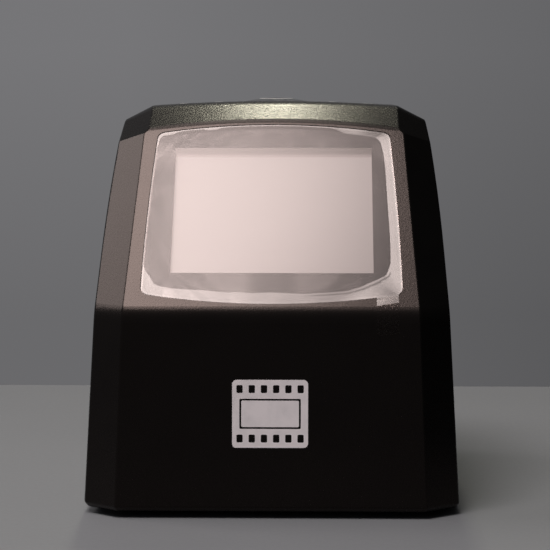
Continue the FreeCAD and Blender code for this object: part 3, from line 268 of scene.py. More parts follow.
# Circuit boards: tracks under solder mask, and tinned pads
def circuitBoard():
    look = {"mask": (0.012, 0.09, 0.035), "maskOverTrack": (0.02, 0.15, 0.06), "pad": (0.6, 0.58, 0.52),
            "trackPitch": 0.0011, "trackWidth": 0.09, "padSize": 0.0014, "padSpread": 0.55, "patchSize": 0.006,
            "depth": 0.00003, "roughness": 0.32}
    material, shade = newMaterial("boardMask")
    spot = placeOn(shade)
    block = {"Vector": spot, "Scale": 1 / look["trackPitch"] / 4, "Mortar Size": look["trackWidth"],
             "Mortar Smooth": 0.1, "Brick Width": 3.2, "Row Height": 0.55}
    tracks = shade.node("ShaderNodeTexBrick", {"offset": 0.37, "squash": 0.7, "squash_frequency": 3}, block, "Fac")
    spread = {"Vector": spot, "Scale": 1 / look["padSize"] / 2.2, "Randomness": look["padSpread"]}
    padCells = shade.node("ShaderNodeTexVoronoi", {"distance": "CHEBYCHEV"}, spread, "Distance")
    chosen = ranged(shade, noise(shade, spot, look["patchSize"], 1.0), 0.54, 0.56)
    pads = ranged(shade, padCells, 0.2, 0.18) * chosen
    green = mixColors(shade, tracks, look["mask"], look["maskOverTrack"])
    surface(shade, {
        "Base Color": mixColors(shade, pads, green, look["pad"]),
        "Metallic": pads * 0.9,
        "Roughness": look["roughness"] + pads * 0.1 + noise(shade, spot, look["patchSize"] / 2) * 0.1,
        "Normal": bump(shade, tracks * 0.6 + pads, look["depth"]),
    })
    return material


# Flat ribbons: copper lines showing through amber film
def ribbonFilm():
    look = {"film": (0.36, 0.14, 0.025), "line": (0.62, 0.33, 0.09), "linePitch": 0.0008, "depth": 0.00002,
            "roughness": 0.26, "smearSize": 0.003}
    material, shade = newMaterial("ribbonFilm")
    spot = placeOn(shade)
    wave = {"Vector": spot, "Scale": 1 / look["linePitch"] * math.pi / 10, "Distortion": 0.0}
    lines = shade.node("ShaderNodeTexWave", {"bands_direction": "X"}, wave, "Fac")
    copper = ranged(shade, lines, 0.45, 0.6)
    surface(shade, {
        "Base Color": mixColors(shade, copper, look["film"], look["line"]),
        "Roughness": look["roughness"] + noise(shade, spot, look["smearSize"], 3.0) * 0.2,
        "Normal": bump(shade, copper, look["depth"]),
    })
    return material


# Dark epoxy of chips, switches and the jack
chipLook = {"color": (0.016, 0.016, 0.018), "colorWorn": (0.03, 0.03, 0.032), "grainSize": 0.0002,
            "grainDepth": 0.00001, "patchSize": 0.003, "roughness": 0.55, "roughnessSpread": 0.15, "ior": 1.5,
            "specularTint": (1.0, 1.0, 1.0)}
chipResin = mouldedPlastic("chipResin", chipLook)
boardMask = circuitBoard()
ribbonMaterial = ribbonFilm()


# Glass of the lenses and of the infrared filter, with faint smears
polish = {"smearSize": 0.0015, "smearFrom": 0.5, "smearTo": 0.75, "roughness": 0.02, "smearRoughness": 0.05}


def solidGlass(name, look):
    material, shade = newMaterial(name)
    spot = placeOn(shade)
    smears = ranged(shade, noise(shade, spot, polish["smearSize"], 4.0), polish["smearFrom"], polish["smearTo"])
    surface(shade, {
        "Base Color": mixColors(shade, smears, look["color"], look["colorSmeared"]),
        "Roughness": polish["roughness"] + smears * polish["smearRoughness"],
        "IOR": look["ior"],
        "Transmission Weight": 1.0,
    })
    return material


lensGlass = solidGlass("lensGlass", {"color": (0.97, 0.99, 1.0), "colorSmeared": (0.9, 0.93, 0.95), "ior": 1.52})
filterGlass = solidGlass("filterGlass", {"color": (0.6, 0.88, 0.86), "colorSmeared": (0.52, 0.8, 0.78), "ior": 1.5})


# Clear sheets in front of the display: what a surface doesn't reflect goes straight through
def clearSheet(name, look):
    material, shade = newMaterial(name)
    spot = placeOn(shade)
    facing = shade.node("ShaderNodeLayerWeight", None, {"Blend": 0.5}, "Facing")
    haze = noise(shade, spot, look["hazeSize"], 4.0)
    share = look["reflection"] + (facing ** 5) * (1 - look["reflection"])
    share = share * (1 + (haze - 0.5) * look["hazeSpread"])
    # Painted shade and painted highlight on the lifted rim, through the mirror share
    if look["rimShadeAndHighlight"]:
        share = share * rimShadeAndHighlight(shade)
    mirror = shade.node("ShaderNodeBsdfGlossy", None, {
        "Color": look["mirrorColor"],
        "Roughness": look["roughness"],
        "Normal": bump(shade, noise(shade, spot, look["waveSize"], 2.0), look["waveDepth"]),
    })
    through = shade.node("ShaderNodeBsdfTransparent", None, {"Color": look["throughColor"]})
    mixed = shade.node("ShaderNodeMixShader", None, {0: share, 1: through, 2: mirror})
    shade.node("ShaderNodeOutputMaterial", None, {"Surface": mixed})
    return material


def bandOf(shade, value, low, high, soft):
    return ranged(shade, value, low - soft, low + soft) * (1 - ranged(shade, value, high - soft, high + soft))


# Painted reflection on the lifted rim: painted shade of a crease beside the stuck part, a faint painted dark line, and
# a painted highlight on the cut edge (in millimetres)
rim = {"creaseShadeFrom": 0.42, "creaseShadeTo": 0.78, "creaseShadeSoft": 0.1, "creaseShadeShare": 0.62, "faintShadeFrom": 0.85, "faintShadeTo": 1.0,
       "faintShadeSoft": 0.12, "faintShadeShare": 0.1, "edgeHighlightFrom": 0.35, "edgeHighlightTo": 0.6, "edgeHighlightShare": 0.14}


def rimShadeAndHighlight(shade):
    away = shade.node("ShaderNodeAttribute", {"attribute_name": "away"}, out="Fac")
    inside = shade.node("ShaderNodeAttribute", {"attribute_name": "inside"}, out="Fac")
    creaseShade = shade.node("ShaderNodeAttribute", {"attribute_name": "creaseShade"}, out="Fac")
    # Painted shade lowers the mirror share at the crease and the faint line; a painted highlight raises it at the cut
    # edge
    creaseShading = bandOf(shade, away, rim["creaseShadeFrom"], rim["creaseShadeTo"], rim["creaseShadeSoft"]) * creaseShade * rim["creaseShadeShare"]
    faintShading = bandOf(shade, inside, rim["faintShadeFrom"], rim["faintShadeTo"], rim["faintShadeSoft"]) * rim["faintShadeShare"]
    edge = (1 - ranged(shade, inside, rim["edgeHighlightFrom"], rim["edgeHighlightTo"])) * rim["edgeHighlightShare"]
    return 1 - creaseShading - faintShading + edge


windowLook = {"reflection": 0.0185, "mirrorColor": (1.0, 0.88, 0.855), "throughColor": (0.985, 0.98, 0.98),
              "roughness": 0.25, "hazeSize": 0.02, "hazeSpread": 0.05, "waveSize": 0.03, "waveDepth": 0.00001,
              "rimShadeAndHighlight": False}
filmFlatLook = {"reflection": 0.003, "mirrorColor": (1.0, 0.88, 0.855), "throughColor": (0.99, 0.985, 0.985),
                "roughness": 0.25, "hazeSize": 0.008, "hazeSpread": 0.1, "waveSize": 0.012, "waveDepth": 0.00001,
                "rimShadeAndHighlight": False}
filmLiftedLook = {"reflection": 0.017, "mirrorColor": (1.0, 0.91, 0.89), "throughColor": (0.985, 0.98, 0.98),
                  "roughness": 0.27, "hazeSize": 0.003, "hazeSpread": 0.14, "waveSize": 0.006, "waveDepth": 0.00001,
                  "rimShadeAndHighlight": True}
windowClear = clearSheet("windowClear", windowLook)
filmFlat = clearSheet("filmFlat", filmFlatLook)
filmLifted = clearSheet("filmLifted", filmLiftedLook)


# Places on the leaning face, in metres: across, up the slope from its lower corner, and out of it
face = {"bendY": -0.042516, "bendZ": 0.048897, "leanDegrees": 37.0, "frontLeanDegrees": 3.0}
lean = math.radians(face["leanDegrees"])


def facePlace(across, up, out):
    y = face["bendY"] + up * math.sin(lean) - out * math.cos(lean)
    z = face["bendZ"] + up * math.cos(lean) + out * math.sin(lean)
    return Vector((across, y, z))


def slopeCoordinate(shade, spot):
    parts = shade.node("ShaderNodeSeparateXYZ", None, {"Vector": spot})
    y = Shade(shade.tree, parts.socket.node.outputs["Y"])
    z = Shade(shade.tree, parts.socket.node.outputs["Z"])
    return (y - face["bendY"]) * math.sin(lean) + (z - face["bendZ"]) * math.cos(lean)


# The display: a silvery switched-off panel, with a painted shadow of the mask's upper edge as a darker band along its
# top
def displayMaterial():
    look = {"panel": (0.242, 0.223, 0.219), "panelShaded": (0.229, 0.212, 0.21), "strip": (0.17, 0.146, 0.143),
            "stripUp": 0.0471, "stripSoft": 0.00005, "cloudSize": 0.03, "grainSize": 0.0003, "grainDepth": 0.000004,
            "roughness": 0.6, "grainRoughness": 0.1, "ior": 1.1}
    material, shade = newMaterial("displayPanel")
    spot = placeOn(shade)
    up = slopeCoordinate(shade, spot)
    # Painted shadow: the band just below the mask's upper edge is darkened in the base colour
    strip = ranged(shade, up, look["stripUp"] - look["stripSoft"], look["stripUp"] + look["stripSoft"])
    clouds = noise(shade, spot, look["cloudSize"], 1.0)
    panel = mixColors(shade, clouds, look["panel"], look["panelShaded"])
    grain = noise(shade, spot, look["grainSize"], 1.0)
    surface(shade, {
        "Base Color": mixColors(shade, strip, panel, look["strip"]),
        "Roughness": look["roughness"] + (grain - 0.5) * look["grainRoughness"],
        "IOR": look["ior"],
        "Normal": bump(shade, grain, look["grainDepth"]),
    })
    return material


# The printed mask behind the window, in a fine screen of dots
def maskMaterial():
    look = {"ink": (0.012, 0.011, 0.0115), "inkThin": (0.02, 0.018, 0.019), "dotSize": 0.00012,
            "dotDepth": 0.000004, "patchSize": 0.009, "roughness": 0.6, "dotRoughness": 0.08, "ior": 1.1}
    material, shade = newMaterial("maskInk")
    spot = placeOn(shade)
    dots = cells(shade, spot, look["dotSize"])
    thin = ranged(shade, noise(shade, spot, look["patchSize"], 3.0), 0.35, 0.7)
    surface(shade, {
        "Base Color": mixColors(shade, thin, look["ink"], look["inkThin"]),
        "Roughness": look["roughness"] + (dots - 0.5) * look["dotRoughness"],
        "IOR": look["ior"],
        "Normal": bump(shade, dots, look["dotDepth"]),
    })
    return material


displayPanel = displayMaterial()
maskInk = maskMaterial()

finishes = [
    (casePlastic, ["front_shell", "side_covers", "rear_shell"]),
    (basePlastic, ["base_plate"]),
    (innerPlastic, ["display_bracket", "lower_gate", "upper_gate", "detent_cups", "light_shroud", "lens_holder",
                    "inner_frame", "lens_barrel"]),
    (lightPlastic, ["display_backlight", "light_box", "diffuser", "backlight_leds", "board_connectors"]),
    (panelPlastic, ["key_panel"]),
    (keyPlastic, ["home_key", "left_key", "ok_key", "right_key", "power_key"]),
    (footRubber, ["rubber_feet"]),
    (gasketFoam, ["window_adhesive", "window_gasket"]),
    (screwSteel, ["base_screws", "case_screws", "display_screws", "gate_screws", "sensor_screws", "frame_screws",
                  "main_board_screws", "key_board_screws", "front_detent_spring", "rear_detent_spring"]),
    (sheetMetal, ["display_frame", "card_socket", "usb_socket"]),
    (pinBrass, ["front_detent_pin", "rear_detent_pin"]),
    (canMetal, ["capacitors"]),
    (boardMask, ["backlight_board", "sensor_board", "main_board", "key_board"]),
    (ribbonMaterial, ["display_ribbon", "backlight_lead", "sensor_ribbon", "key_ribbon"]),
    (chipResin, ["board_chips", "image_sensor", "video_jack", "key_switches"]),
    (lensGlass, ["lens_elements"]),
    (filterGlass, ["infrared_filter"]),
    (windowClear, ["display_window"]),
    (displayPanel, ["display_panel"]),
    (maskInk, ["window_mask"]),
]
for material, names in finishes:
    for name in names:
        mesh = nodes[name].data
        mesh.materials.clear()
        mesh.materials.append(material)
print("finishes on", sum(len(names) for _, names in finishes), "nodes")


# Modelling helpers: start from nothing selected, and select by place
def deselectAll():
    bpy.ops.object.select_all(action="DESELECT")


def startPiece(addPrimitive, **settings):
    deselectAll()
    addPrimitive(**settings)
    return bpy.context.object


def edit(piece):
    bpy.context.view_layer.objects.active = piece
    bpy.ops.object.mode_set(mode="EDIT")
    bpy.ops.mesh.select_all(action="DESELECT")


def objectMode():
    bpy.ops.object.mode_set(mode="OBJECT")


def selectParts(piece, mode, chosen):
    bpy.ops.object.mode_set(mode="OBJECT")
    mesh = piece.data
    for part in list(mesh.vertices) + list(mesh.edges) + list(mesh.polygons):
        part.select = False
    for part in getattr(mesh, {"VERT": "vertices", "EDGE": "edges", "FACE": "polygons"}[mode]):
        part.select = chosen(part)
    bpy.ops.object.mode_set(mode="EDIT")
    bpy.ops.mesh.select_mode(type=mode)


def applyPlace(piece):
    deselectAll()
    piece.select_set(True)
    bpy.context.view_layer.objects.active = piece
    bpy.ops.object.transform_apply(location=True, rotation=True, scale=True)


def outwards(piece):
    edit(piece)
    bpy.ops.mesh.select_all(action="SELECT")
    bpy.ops.mesh.remove_doubles(threshold=0.000002)
    bpy.ops.mesh.normals_make_consistent(inside=False)
    objectMode()


# The protective film: stuck to the window, but lifted along its right and lower edges, with a pull tab
film = {
    "halfLow": 0.0313, "halfTop": 0.029, "low": 0.0057, "high": 0.0525, "dip": 0.0028, "crown": 0.00265,
    "sideBow": 0.0004, "corner": 0.0021, "level": -0.00006, "thickness": 0.00005, "points": 360, "rimCuts": 6,
    "longCuts": 60, "shortCuts": 20, "spacing": 0.0003, "sidesWithin": 0.02, "lowBelow": 0.012,
    "lift": 0.0004, "liftReach": 0.011, "liftLean": 0.65, "sideLift": 0.00026, "sideFrom": 0.016, "sideTo": 0.027,
    "tabLeft": 0.0251, "tabRight": 0.0303, "foldLeft": (0.002, 0.0006), "foldRight": (0.00285, 0.0007),
    "tabSteps": [(-0.00012, -0.0004), (-0.0006, -0.0016), (-0.0006, -0.0025), (-0.00025, -0.0026)],
    "tabShares": (0.35, 0.7, 1.0), "tabAway": 4.0, "tabInside": 1.5,
    # where the painted crease shade lies on the lower rim
    "creaseShadeFrom": 0.007, "creaseShadeTo": 0.012, "creaseShadeBelow": 0.0115,
    "stuckEdge": [
        (14.35, 54.17), (15.79, 53.73), (17.59, 52.62), (20.47, 52.18), (23.34, 51.74), (25.85, 51.08),
        (26.73, 49.76), (27.39, 46.7), (27.83, 41.06), (28.06, 34.21), (28.3, 28.31), (28.54, 22.9), (28.62, 17.97),
        (28.55, 14.3), (27.99, 12.28), (27.45, 10.86), (24.86, 9.45), (21.41, 7.64), (17.97, 6.44), (13.87, 6.03),
        (7.71, 5.61), (0.87, 5.99), (-2.18, 5.98), (-4.57, 5.78), (-8.69, 6.17), (-10.4, 5.92), (-15.9, 6.55),
        (-19.34, 6.74), (-24.16, 7.12), (-26.94, 7.72), (-28.35, 8.51), (-29.31, 10.52), (-30.23, 11.73),
        (-31.0, 13.5), (-30.97, 16.0), (-30.68, 24.0), (-30.19, 34.0), (-29.56, 44.0), (-29.16, 49.0),
        (-28.6, 50.9), (-27.9, 51.75), (-27.1, 51.95), (-25.9, 52.1), (-24.8, 52.5), (-24.0, 53.05), (-20.0, 53.64),
        (-17.8, 53.85), (-16.8, 53.55), (-14.6, 53.7), (-13.4, 54.2), (-12.0, 54.45), (-6.0, 54.79), (0.0, 54.9),
        (6.0, 54.79), (10.0, 54.55),
    ],
}


def arcPoints(first, middle, last, count):
    a, b, c = Vector(first), Vector(middle), Vector(last)
    d = 2 * (a.x * (b.y - c.y) + b.x * (c.y - a.y) + c.x * (a.y - b.y))
    squares = [p.length_squared for p in (a, b, c)]
    centre = Vector(((squares[0] * (b.y - c.y) + squares[1] * (c.y - a.y) + squares[2] * (a.y - b.y)) / d,
                     (squares[0] * (c.x - b.x) + squares[1] * (a.x - c.x) + squares[2] * (b.x - a.x)) / d))
    start = (a - centre).angle_signed(Vector((1, 0)))
    turn = (c - centre).angle_signed(a - centre)
    radius = (a - centre).length
    points = []
    for i in range(count + 1):
        angle = start + turn * i / count
        points.append(centre + Vector((math.cos(angle), math.sin(angle))) * radius)
    return points


def roundedCorner(before, corner, after, radius, count=6):
    toBefore = (before - corner).normalized()
    toAfter = (after - corner).normalized()
    half = toBefore.angle(toAfter) / 2
    reach = radius / math.tan(half)
    centre = corner + (toBefore + toAfter).normalized() * (radius / math.sin(half))
    first, last = corner + toBefore * reach, corner + toAfter * reach
    middle = centre + (corner - centre).normalized() * radius
    return arcPoints(first, middle, last, count)


def filmOutline():
    lowLeft, lowRight = Vector((-film["halfLow"], film["low"])), Vector((film["halfLow"], film["low"]))
    topLeft, topRight = Vector((-film["halfTop"], film["high"])), Vector((film["halfTop"], film["high"]))
    bottom = arcPoints(lowLeft, (0, film["low"] - film["dip"]), lowRight, film["longCuts"])
    bow = Vector((film["sideBow"], 0))
    right = arcPoints(lowRight, (lowRight + topRight) / 2 + bow, topRight, film["shortCuts"])
    top = arcPoints(topRight, (0, film["high"] + film["crown"]), topLeft, film["longCuts"])
    left = arcPoints(topLeft, (lowLeft + topLeft) / 2 - bow, lowLeft, film["shortCuts"])
    sides = [bottom, right, top, left]
    corners = [roundedCorner(sides[i - 1][-3], side[0], side[2], film["corner"]) for i, side in enumerate(sides)]
    outline = []
    keep, spacing = film["corner"] * 1.02, film["spacing"]
    for i, side in enumerate(sides):
        outline += corners[i]
        before, after = corners[i][-1], corners[(i + 1) % 4][0]
        outline += [p for p in side if (p - side[0]).length > keep and (p - side[-1]).length > keep
                    and (p - before).length > spacing and (p - after).length > spacing]
    return outline


filmMiddle = Vector((0, 0.029))
tiny = 1e-6


def reachAt(line, angle):  # how far a closed line is from the film's middle, in one direction
    way = Vector((math.cos(angle), math.sin(angle)))
    for first, second in zip(line, line[1:] + line[:1]):
        a, b = first - filmMiddle, second - filmMiddle
        across = way.x * (b.y - a.y) - way.y * (b.x - a.x)
        if abs(across) < tiny * tiny:
            continue
        along = (a.x * (b.y - a.y) - a.y * (b.x - a.x)) / across
        share = (a.x * way.y - a.y * way.x) / across
        if along > 0 and -tiny <= share <= 1 + tiny:
            return along
    raise ValueError("the film's line is open")


def angleBelow(line, across):  # direction of the point of the lower edge at one place across
    for first, second in zip(line, line[1:] + line[:1]):
        if first.x < across <= second.x and first.y < film["lowBelow"]:
            up = first.y + (second.y - first.y) * (across - first.x) / (second.x - first.x)
            return math.atan2(up - filmMiddle.y, across)
    raise ValueError("no lower edge there")


def smoothStep(value, low, high):
    share = min(1, max(0, (value - low) / (high - low)))
    return share * share * (3 - 2 * share)


def placeRing(piece, reaches, angles):  # put the selected ring of points at these reaches
    for vertex in [v for v in piece.data.vertices if v.select]:
        offset = Vector((vertex.co.x, vertex.co.y)) - filmMiddle
        angle = math.atan2(offset.y, offset.x)
        nearest = min(range(len(angles)), key=lambda i: abs(angles[i] - angle))
        way = Vector((math.cos(angles[nearest]), math.sin(angles[nearest])))
        place = filmMiddle + way * reaches[nearest]
        vertex.co = (place.x, place.y, 0)


def filmHeight(across, up, rimShare):  # how far the lifted corner by the tab stands off the window
    away = math.hypot(across - film["tabRight"], up - film["low"])
    corner = film["lift"] * (1 - smoothStep(away, 0, film["liftReach"]))
    return (corner + film["sideLift"] * smoothStep(across, film["sideFrom"], film["sideTo"])) * rimShare


def foldAt(across):  # place up the face and height off it of the tab's fold
    along = (across - film["tabLeft"]) / (film["tabRight"] - film["tabLeft"])
    return Vector(film["foldLeft"]).lerp(Vector(film["foldRight"]), along)


def growTab(piece, outer):  # the top of the tab, from the lower edge of the film down to the fold
    def onTab(index):
        spot = piece.data.vertices[index].co
        across = film["tabLeft"] - tiny <= spot.x <= film["tabRight"] + tiny
        return index in outer and across and spot.y < film["lowBelow"]

    selectParts(piece, "EDGE", lambda e: all(onTab(i) for i in e.vertices))
    objectMode()
    edgeRow = [v.index for v in piece.data.vertices if v.select]
    edgeRow.sort(key=lambda i: piece.data.vertices[i].co.x)
    starts = {round(piece.data.vertices[i].co.x, 7): piece.data.vertices[i].co.y for i in edgeRow}
    rows = []
    for share in film["tabShares"]:
        bpy.ops.object.mode_set(mode="EDIT")
        bpy.ops.mesh.extrude_edges_move(TRANSFORM_OT_translate={"value": (0, -film["spacing"], 0)})
        objectMode()
        for vertex in [v for v in piece.data.vertices if v.select]:
            startUp = starts[round(vertex.co.x, 7)]
            startOut = filmHeight(vertex.co.x, startUp, 1)
            start = Vector((startUp - startOut * film["liftLean"], startOut))
            place = start.lerp(foldAt(vertex.co.x), share)
            vertex.co.y = place.x
            vertex.co.z = place.y
            rows.append(vertex.index)
    return rows


def liftRim(mesh, outline, stuck, tabRows):
    # Also notes how far each point is from the stuck part and from the outer edge, in millimetres, and how much painted
    # crease shade it takes
    away, inside, creaseShade = [], [], []
    for vertex in mesh.vertices:
        spot = vertex.co.copy()
        if vertex.index in tabRows:
            away.append(film["tabAway"])
            inside.append(film["tabInside"])
            creaseShade.append(0.0)
            vertex.co = facePlace(spot.x, spot.y, spot.z)
            continue
        offset = Vector((spot.x, spot.y)) - filmMiddle
        angle = math.atan2(offset.y, offset.x)
        innerAt, outerAt = reachAt(stuck, angle), reachAt(outline, angle)
        rimShare = min(1, max(0, (offset.length - innerAt) / (outerAt - innerAt)))
        out = filmHeight(spot.x, spot.y, rimShare)
        vertex.co = facePlace(spot.x, spot.y - out * film["liftLean"], film["level"] + out)
        square = math.cos(angle) if abs(offset.y) <= film["sidesWithin"] else math.sin(angle)
        away.append((offset.length - innerAt) * 1000 * abs(square))
        inside.append((outerAt - offset.length) * 1000)
        low = spot.y < film["creaseShadeBelow"]
        creaseShade.append(smoothStep(spot.x, film["creaseShadeFrom"], film["creaseShadeTo"]) if low else 0.0)
    for name, values in (("away", away), ("inside", inside), ("creaseShade", creaseShade)):
        layer = mesh.attributes.new(name, "FLOAT", "POINT")
        layer.data.foreach_set("value", values)


def peelFilm():
    outline = filmOutline()
    stuck = [Vector((across / 1000, up / 1000)) for across, up in film["stuckEdge"]]
    angles = [math.tau * i / film["points"] - math.pi for i in range(film["points"])]
    angles = sorted(angles + [angleBelow(outline, film["tabLeft"]), angleBelow(outline, film["tabRight"])])
    outerReach = [reachAt(outline, angle) for angle in angles]
    innerReach = [reachAt(stuck, angle) for angle in angles]
    piece = startPiece(bpy.ops.mesh.primitive_circle_add, vertices=len(angles), radius=0.02, fill_type="NOTHING")
    piece.name = "peelFilm"
    for vertex, reach, angle in zip(piece.data.vertices, outerReach, angles):
        place = filmMiddle + Vector((math.cos(angle), math.sin(angle))) * reach
        vertex.co = (place.x, place.y, 0)
    outer = {v.index for v in piece.data.vertices}
    edit(piece)
    bpy.ops.mesh.select_all(action="SELECT")
    for cut in range(film["rimCuts"]):
        bpy.ops.mesh.extrude_edges_move(TRANSFORM_OT_translate={"value": (0, 0, 0)})
        objectMode()
        share = (cut + 1) / film["rimCuts"]
        placeRing(piece, [a + (b - a) * share for a, b in zip(outerReach, innerReach)], angles)
        bpy.ops.object.mode_set(mode="EDIT")
    bpy.ops.mesh.edge_face_add()
    tabRows = growTab(piece, outer)
    mesh = piece.data
    lastRow = set(tabRows[-len(tabRows) // len(film["tabShares"]):])
    liftRim(mesh, outline, stuck, tabRows)

    # The strip of the tab hangs from its fold, in front of the bend of the case
    beforeStrip = len(mesh.vertices)
    selectParts(piece, "EDGE", lambda e: set(e.vertices) <= lastRow)
    for forward, down in film["tabSteps"]:
        bpy.ops.mesh.extrude_edges_move(TRANSFORM_OT_translate={"value": (0, forward, down)})
    objectMode()
    mesh.materials.append(filmFlat)
    mesh.materials.append(filmLifted)
    for polygon in mesh.polygons:
        middle = len(polygon.vertices) == len(angles)
        polygon.material_index = 0 if middle or max(polygon.vertices) >= beforeStrip else 1
    outwards(piece)
    print("film:", len(mesh.polygons), "faces")
    thicken = piece.modifiers.new("thickness", "SOLIDIFY")
    thicken.thickness = film["thickness"]
    thicken.offset = -1
    bpy.ops.object.modifier_apply(modifier=thicken.name)
    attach(piece, "case")
    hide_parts("protective_film")


# Plain sign of a film frame on the front: a light rounded plate with a row of perforations above and below
emblem = {"width": 0.01804, "height": 0.0162, "centreZ": 0.0252, "centreX": -0.0002, "thickness": 0.00012,
          "corner": 0.0011, "holeCorner": 0.00028, "holeWidth": 0.0015, "holeHeight": 0.0019, "holePitch": 0.0029,
          "holes": 6, "rowHeight": 0.0059, "frameHalfX": 0.0073, "frameHalfZ": 0.0036, "frameLine": 0.00045,
          "sunkShare": 0.4}


def emblemMaterial():
    look = {"ink": (0.86, 0.79, 0.81), "inkWorn": (0.75, 0.695, 0.715), "grainSize": 0.00035, "grainDepth": 0.00002,
            "patchSize": 0.004, "roughness": 0.55}
    material, shade = newMaterial("emblemInk")
    spot = placeOn(shade)
    grain = noise(shade, spot, look["grainSize"], 3.0)
    worn = ranged(shade, noise(shade, spot, look["patchSize"], 4.0), 0.4, 0.75)
    surface(shade, {
        "Base Color": mixColors(shade, worn, look["ink"], look["inkWorn"]),
        "Roughness": look["roughness"] + (grain - 0.5) * 0.2,
        "Normal": bump(shade, grain, look["grainDepth"]),
    })
    return material


def emblemCuts():
    cutsX, cutsZ = [], []
    for i in range(emblem["holes"]):
        x = (i - (emblem["holes"] - 1) / 2) * emblem["holePitch"]
        cutsX += [x - emblem["holeWidth"] / 2, x + emblem["holeWidth"] / 2]
    for side in (-1, 1):
        z = side * emblem["rowHeight"]
        cutsZ += [z - emblem["holeHeight"] / 2, z + emblem["holeHeight"] / 2]
    for side in (-1, 1):
        cutsX += [side * emblem["frameHalfX"], side * (emblem["frameHalfX"] - emblem["frameLine"])]
        cutsZ += [side * emblem["frameHalfZ"], side * (emblem["frameHalfZ"] - emblem["frameLine"])]
    return cutsX, cutsZ


def frontEmblem():
    cutsX, cutsZ = emblemCuts()
    piece = startPiece(bpy.ops.mesh.primitive_plane_add, size=1, rotation=(math.radians(90), 0, 0))
    piece.name = "frontEmblem"
    piece.scale = (emblem["width"], emblem["height"], 1)
    applyPlace(piece)
    edit(piece)
    for x in cutsX:
        bpy.ops.mesh.select_all(action="SELECT")
        bpy.ops.mesh.bisect(plane_co=(x, 0, 0), plane_no=(1, 0, 0))
    for z in cutsZ:
        bpy.ops.mesh.select_all(action="SELECT")
        bpy.ops.mesh.bisect(plane_co=(0, 0, z), plane_no=(0, 0, 1))

    def isHole(polygon):
        x, z = abs(polygon.center.x), abs(polygon.center.z)
        inRow = abs(z - emblem["rowHeight"]) < emblem["holeHeight"] / 2
        nearest = (round(x / emblem["holePitch"] - 0.5) + 0.5) * emblem["holePitch"]
        inHole = inRow and abs(x - nearest) < emblem["holeWidth"] / 2
        outside = x > emblem["frameHalfX"] or z > emblem["frameHalfZ"]
        inside = x < emblem["frameHalfX"] - emblem["frameLine"] and z < emblem["frameHalfZ"] - emblem["frameLine"]
        return inHole or not (outside or inside)

    selectParts(piece, "FACE", isHole)
    bpy.ops.mesh.delete(type="FACE")
    bpy.ops.mesh.select_all(action="SELECT")
    bpy.ops.mesh.dissolve_limited(angle_limit=math.radians(1))
    bpy.ops.mesh.select_all(action="SELECT")
    bpy.ops.mesh.extrude_region_move(TRANSFORM_OT_translate={"value": (0, -emblem["thickness"], 0)})

    def isUpright(edge):
        a, b = (piece.data.vertices[i].co for i in edge.vertices)
        return abs(a.y - b.y) > emblem["thickness"] / 2

    def atCorner(edge):
        a = piece.data.vertices[edge.vertices[0]].co
        farX, farZ = abs(a.x) > emblem["width"] * 0.49, abs(a.z) > emblem["height"] * 0.49
        return isUpright(edge) and farX and farZ

    selectParts(piece, "EDGE", lambda e: isUpright(e) and not atCorner(e))
    bpy.ops.mesh.bevel(offset=emblem["holeCorner"], segments=3)
    selectParts(piece, "EDGE", atCorner)
    bpy.ops.mesh.bevel(offset=emblem["corner"], segments=6)
    objectMode()
    frontLean = math.radians(face["frontLeanDegrees"])
    frontY = face["bendY"] - (face["bendZ"] - emblem["centreZ"]) * math.tan(frontLean)
    piece.rotation_euler = (-frontLean, 0, 0)
    piece.location = (emblem["centreX"], frontY + emblem["thickness"] * emblem["sunkShare"], emblem["centreZ"])
    applyPlace(piece)
    outwards(piece)
    piece.data.materials.append(emblemMaterial())
    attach(piece, "case")


# Printed signs on the keys, laid on the keys' own tops
signs = {"depth": 0.00004, "proud": 0.000025, "arrow": 0.00165, "arrowCorner": 0.0003, "house": 0.00125,
         "houseRoof": 0.75, "houseWalls": 0.78, "houseDrop": 0.3, "ring": 0.0012, "ringGap": 0.0005, "line": 0.00032,
         "barUp": 0.75, "barLength": 3.4, "okRing": 0.0044}


def signMaterial():
    look = {"ink": (0.62, 0.61, 0.59), "inkWorn": (0.45, 0.44, 0.43), "wornSize": 0.0006, "wornDepth": 0.000005,
            "roughness": 0.5}
    material, shade = newMaterial("signInk")
    spot = placeOn(shade)
    worn = ranged(shade, noise(shade, spot, look["wornSize"], 4.0), 0.5, 0.75)
    surface(shade, {
        "Base Color": mixColors(shade, worn, look["ink"], look["inkWorn"]),
        "Roughness": look["roughness"] + worn * 0.15,
        "Normal": bump(shade, worn, look["wornDepth"]),
    })
    return material


signInk = signMaterial()


def layOnKey(piece, node):
    key = nodes[node]
    deselectAll()
    flat = [v.co.copy() for v in piece.data.vertices]
    for vertex, spot in zip(piece.data.vertices, flat):
        hit, where, _, _ = key.ray_cast(Vector((spot.x, spot.y, 0.12)), Vector((0, 0, -1)))
        level = where.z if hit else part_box(node)[1].z
        vertex.co.z = level + (signs["proud"] if spot.z > 0 else -signs["depth"])


def finishSign(piece, name, node, body):
    piece.name = name
    applyPlace(piece)
    edit(piece)
    bpy.ops.mesh.select_all(action="SELECT")
    bpy.ops.mesh.extrude_region_move(TRANSFORM_OT_translate={"value": (0, 0, 0.001)})
    objectMode()
    layOnKey(piece, node)
    outwards(piece)
    piece.data.materials.append(signInk)
    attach(piece, body)


def keyCentre(node):
    low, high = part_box(node)
    return (low.x + high.x) / 2, (low.y + high.y) / 2


def arrowSign(side):
    node, turn = (("left_key", 90), ("right_key", -90))[side]
    x, y = keyCentre(node)
    piece = startPiece(bpy.ops.mesh.primitive_circle_add, vertices=3, radius=signs["arrow"], fill_type="NGON",
                       location=(x, y, 0), rotation=(0, 0, math.radians(turn)))
    edit(piece)
    bpy.ops.mesh.select_all(action="SELECT")
    bpy.ops.mesh.bevel(offset=signs["arrowCorner"], segments=4, affect="VERTICES")
    objectMode()
    finishSign(piece, ("leftArrow", "rightArrow")[side], node, ("left", "right")[side])


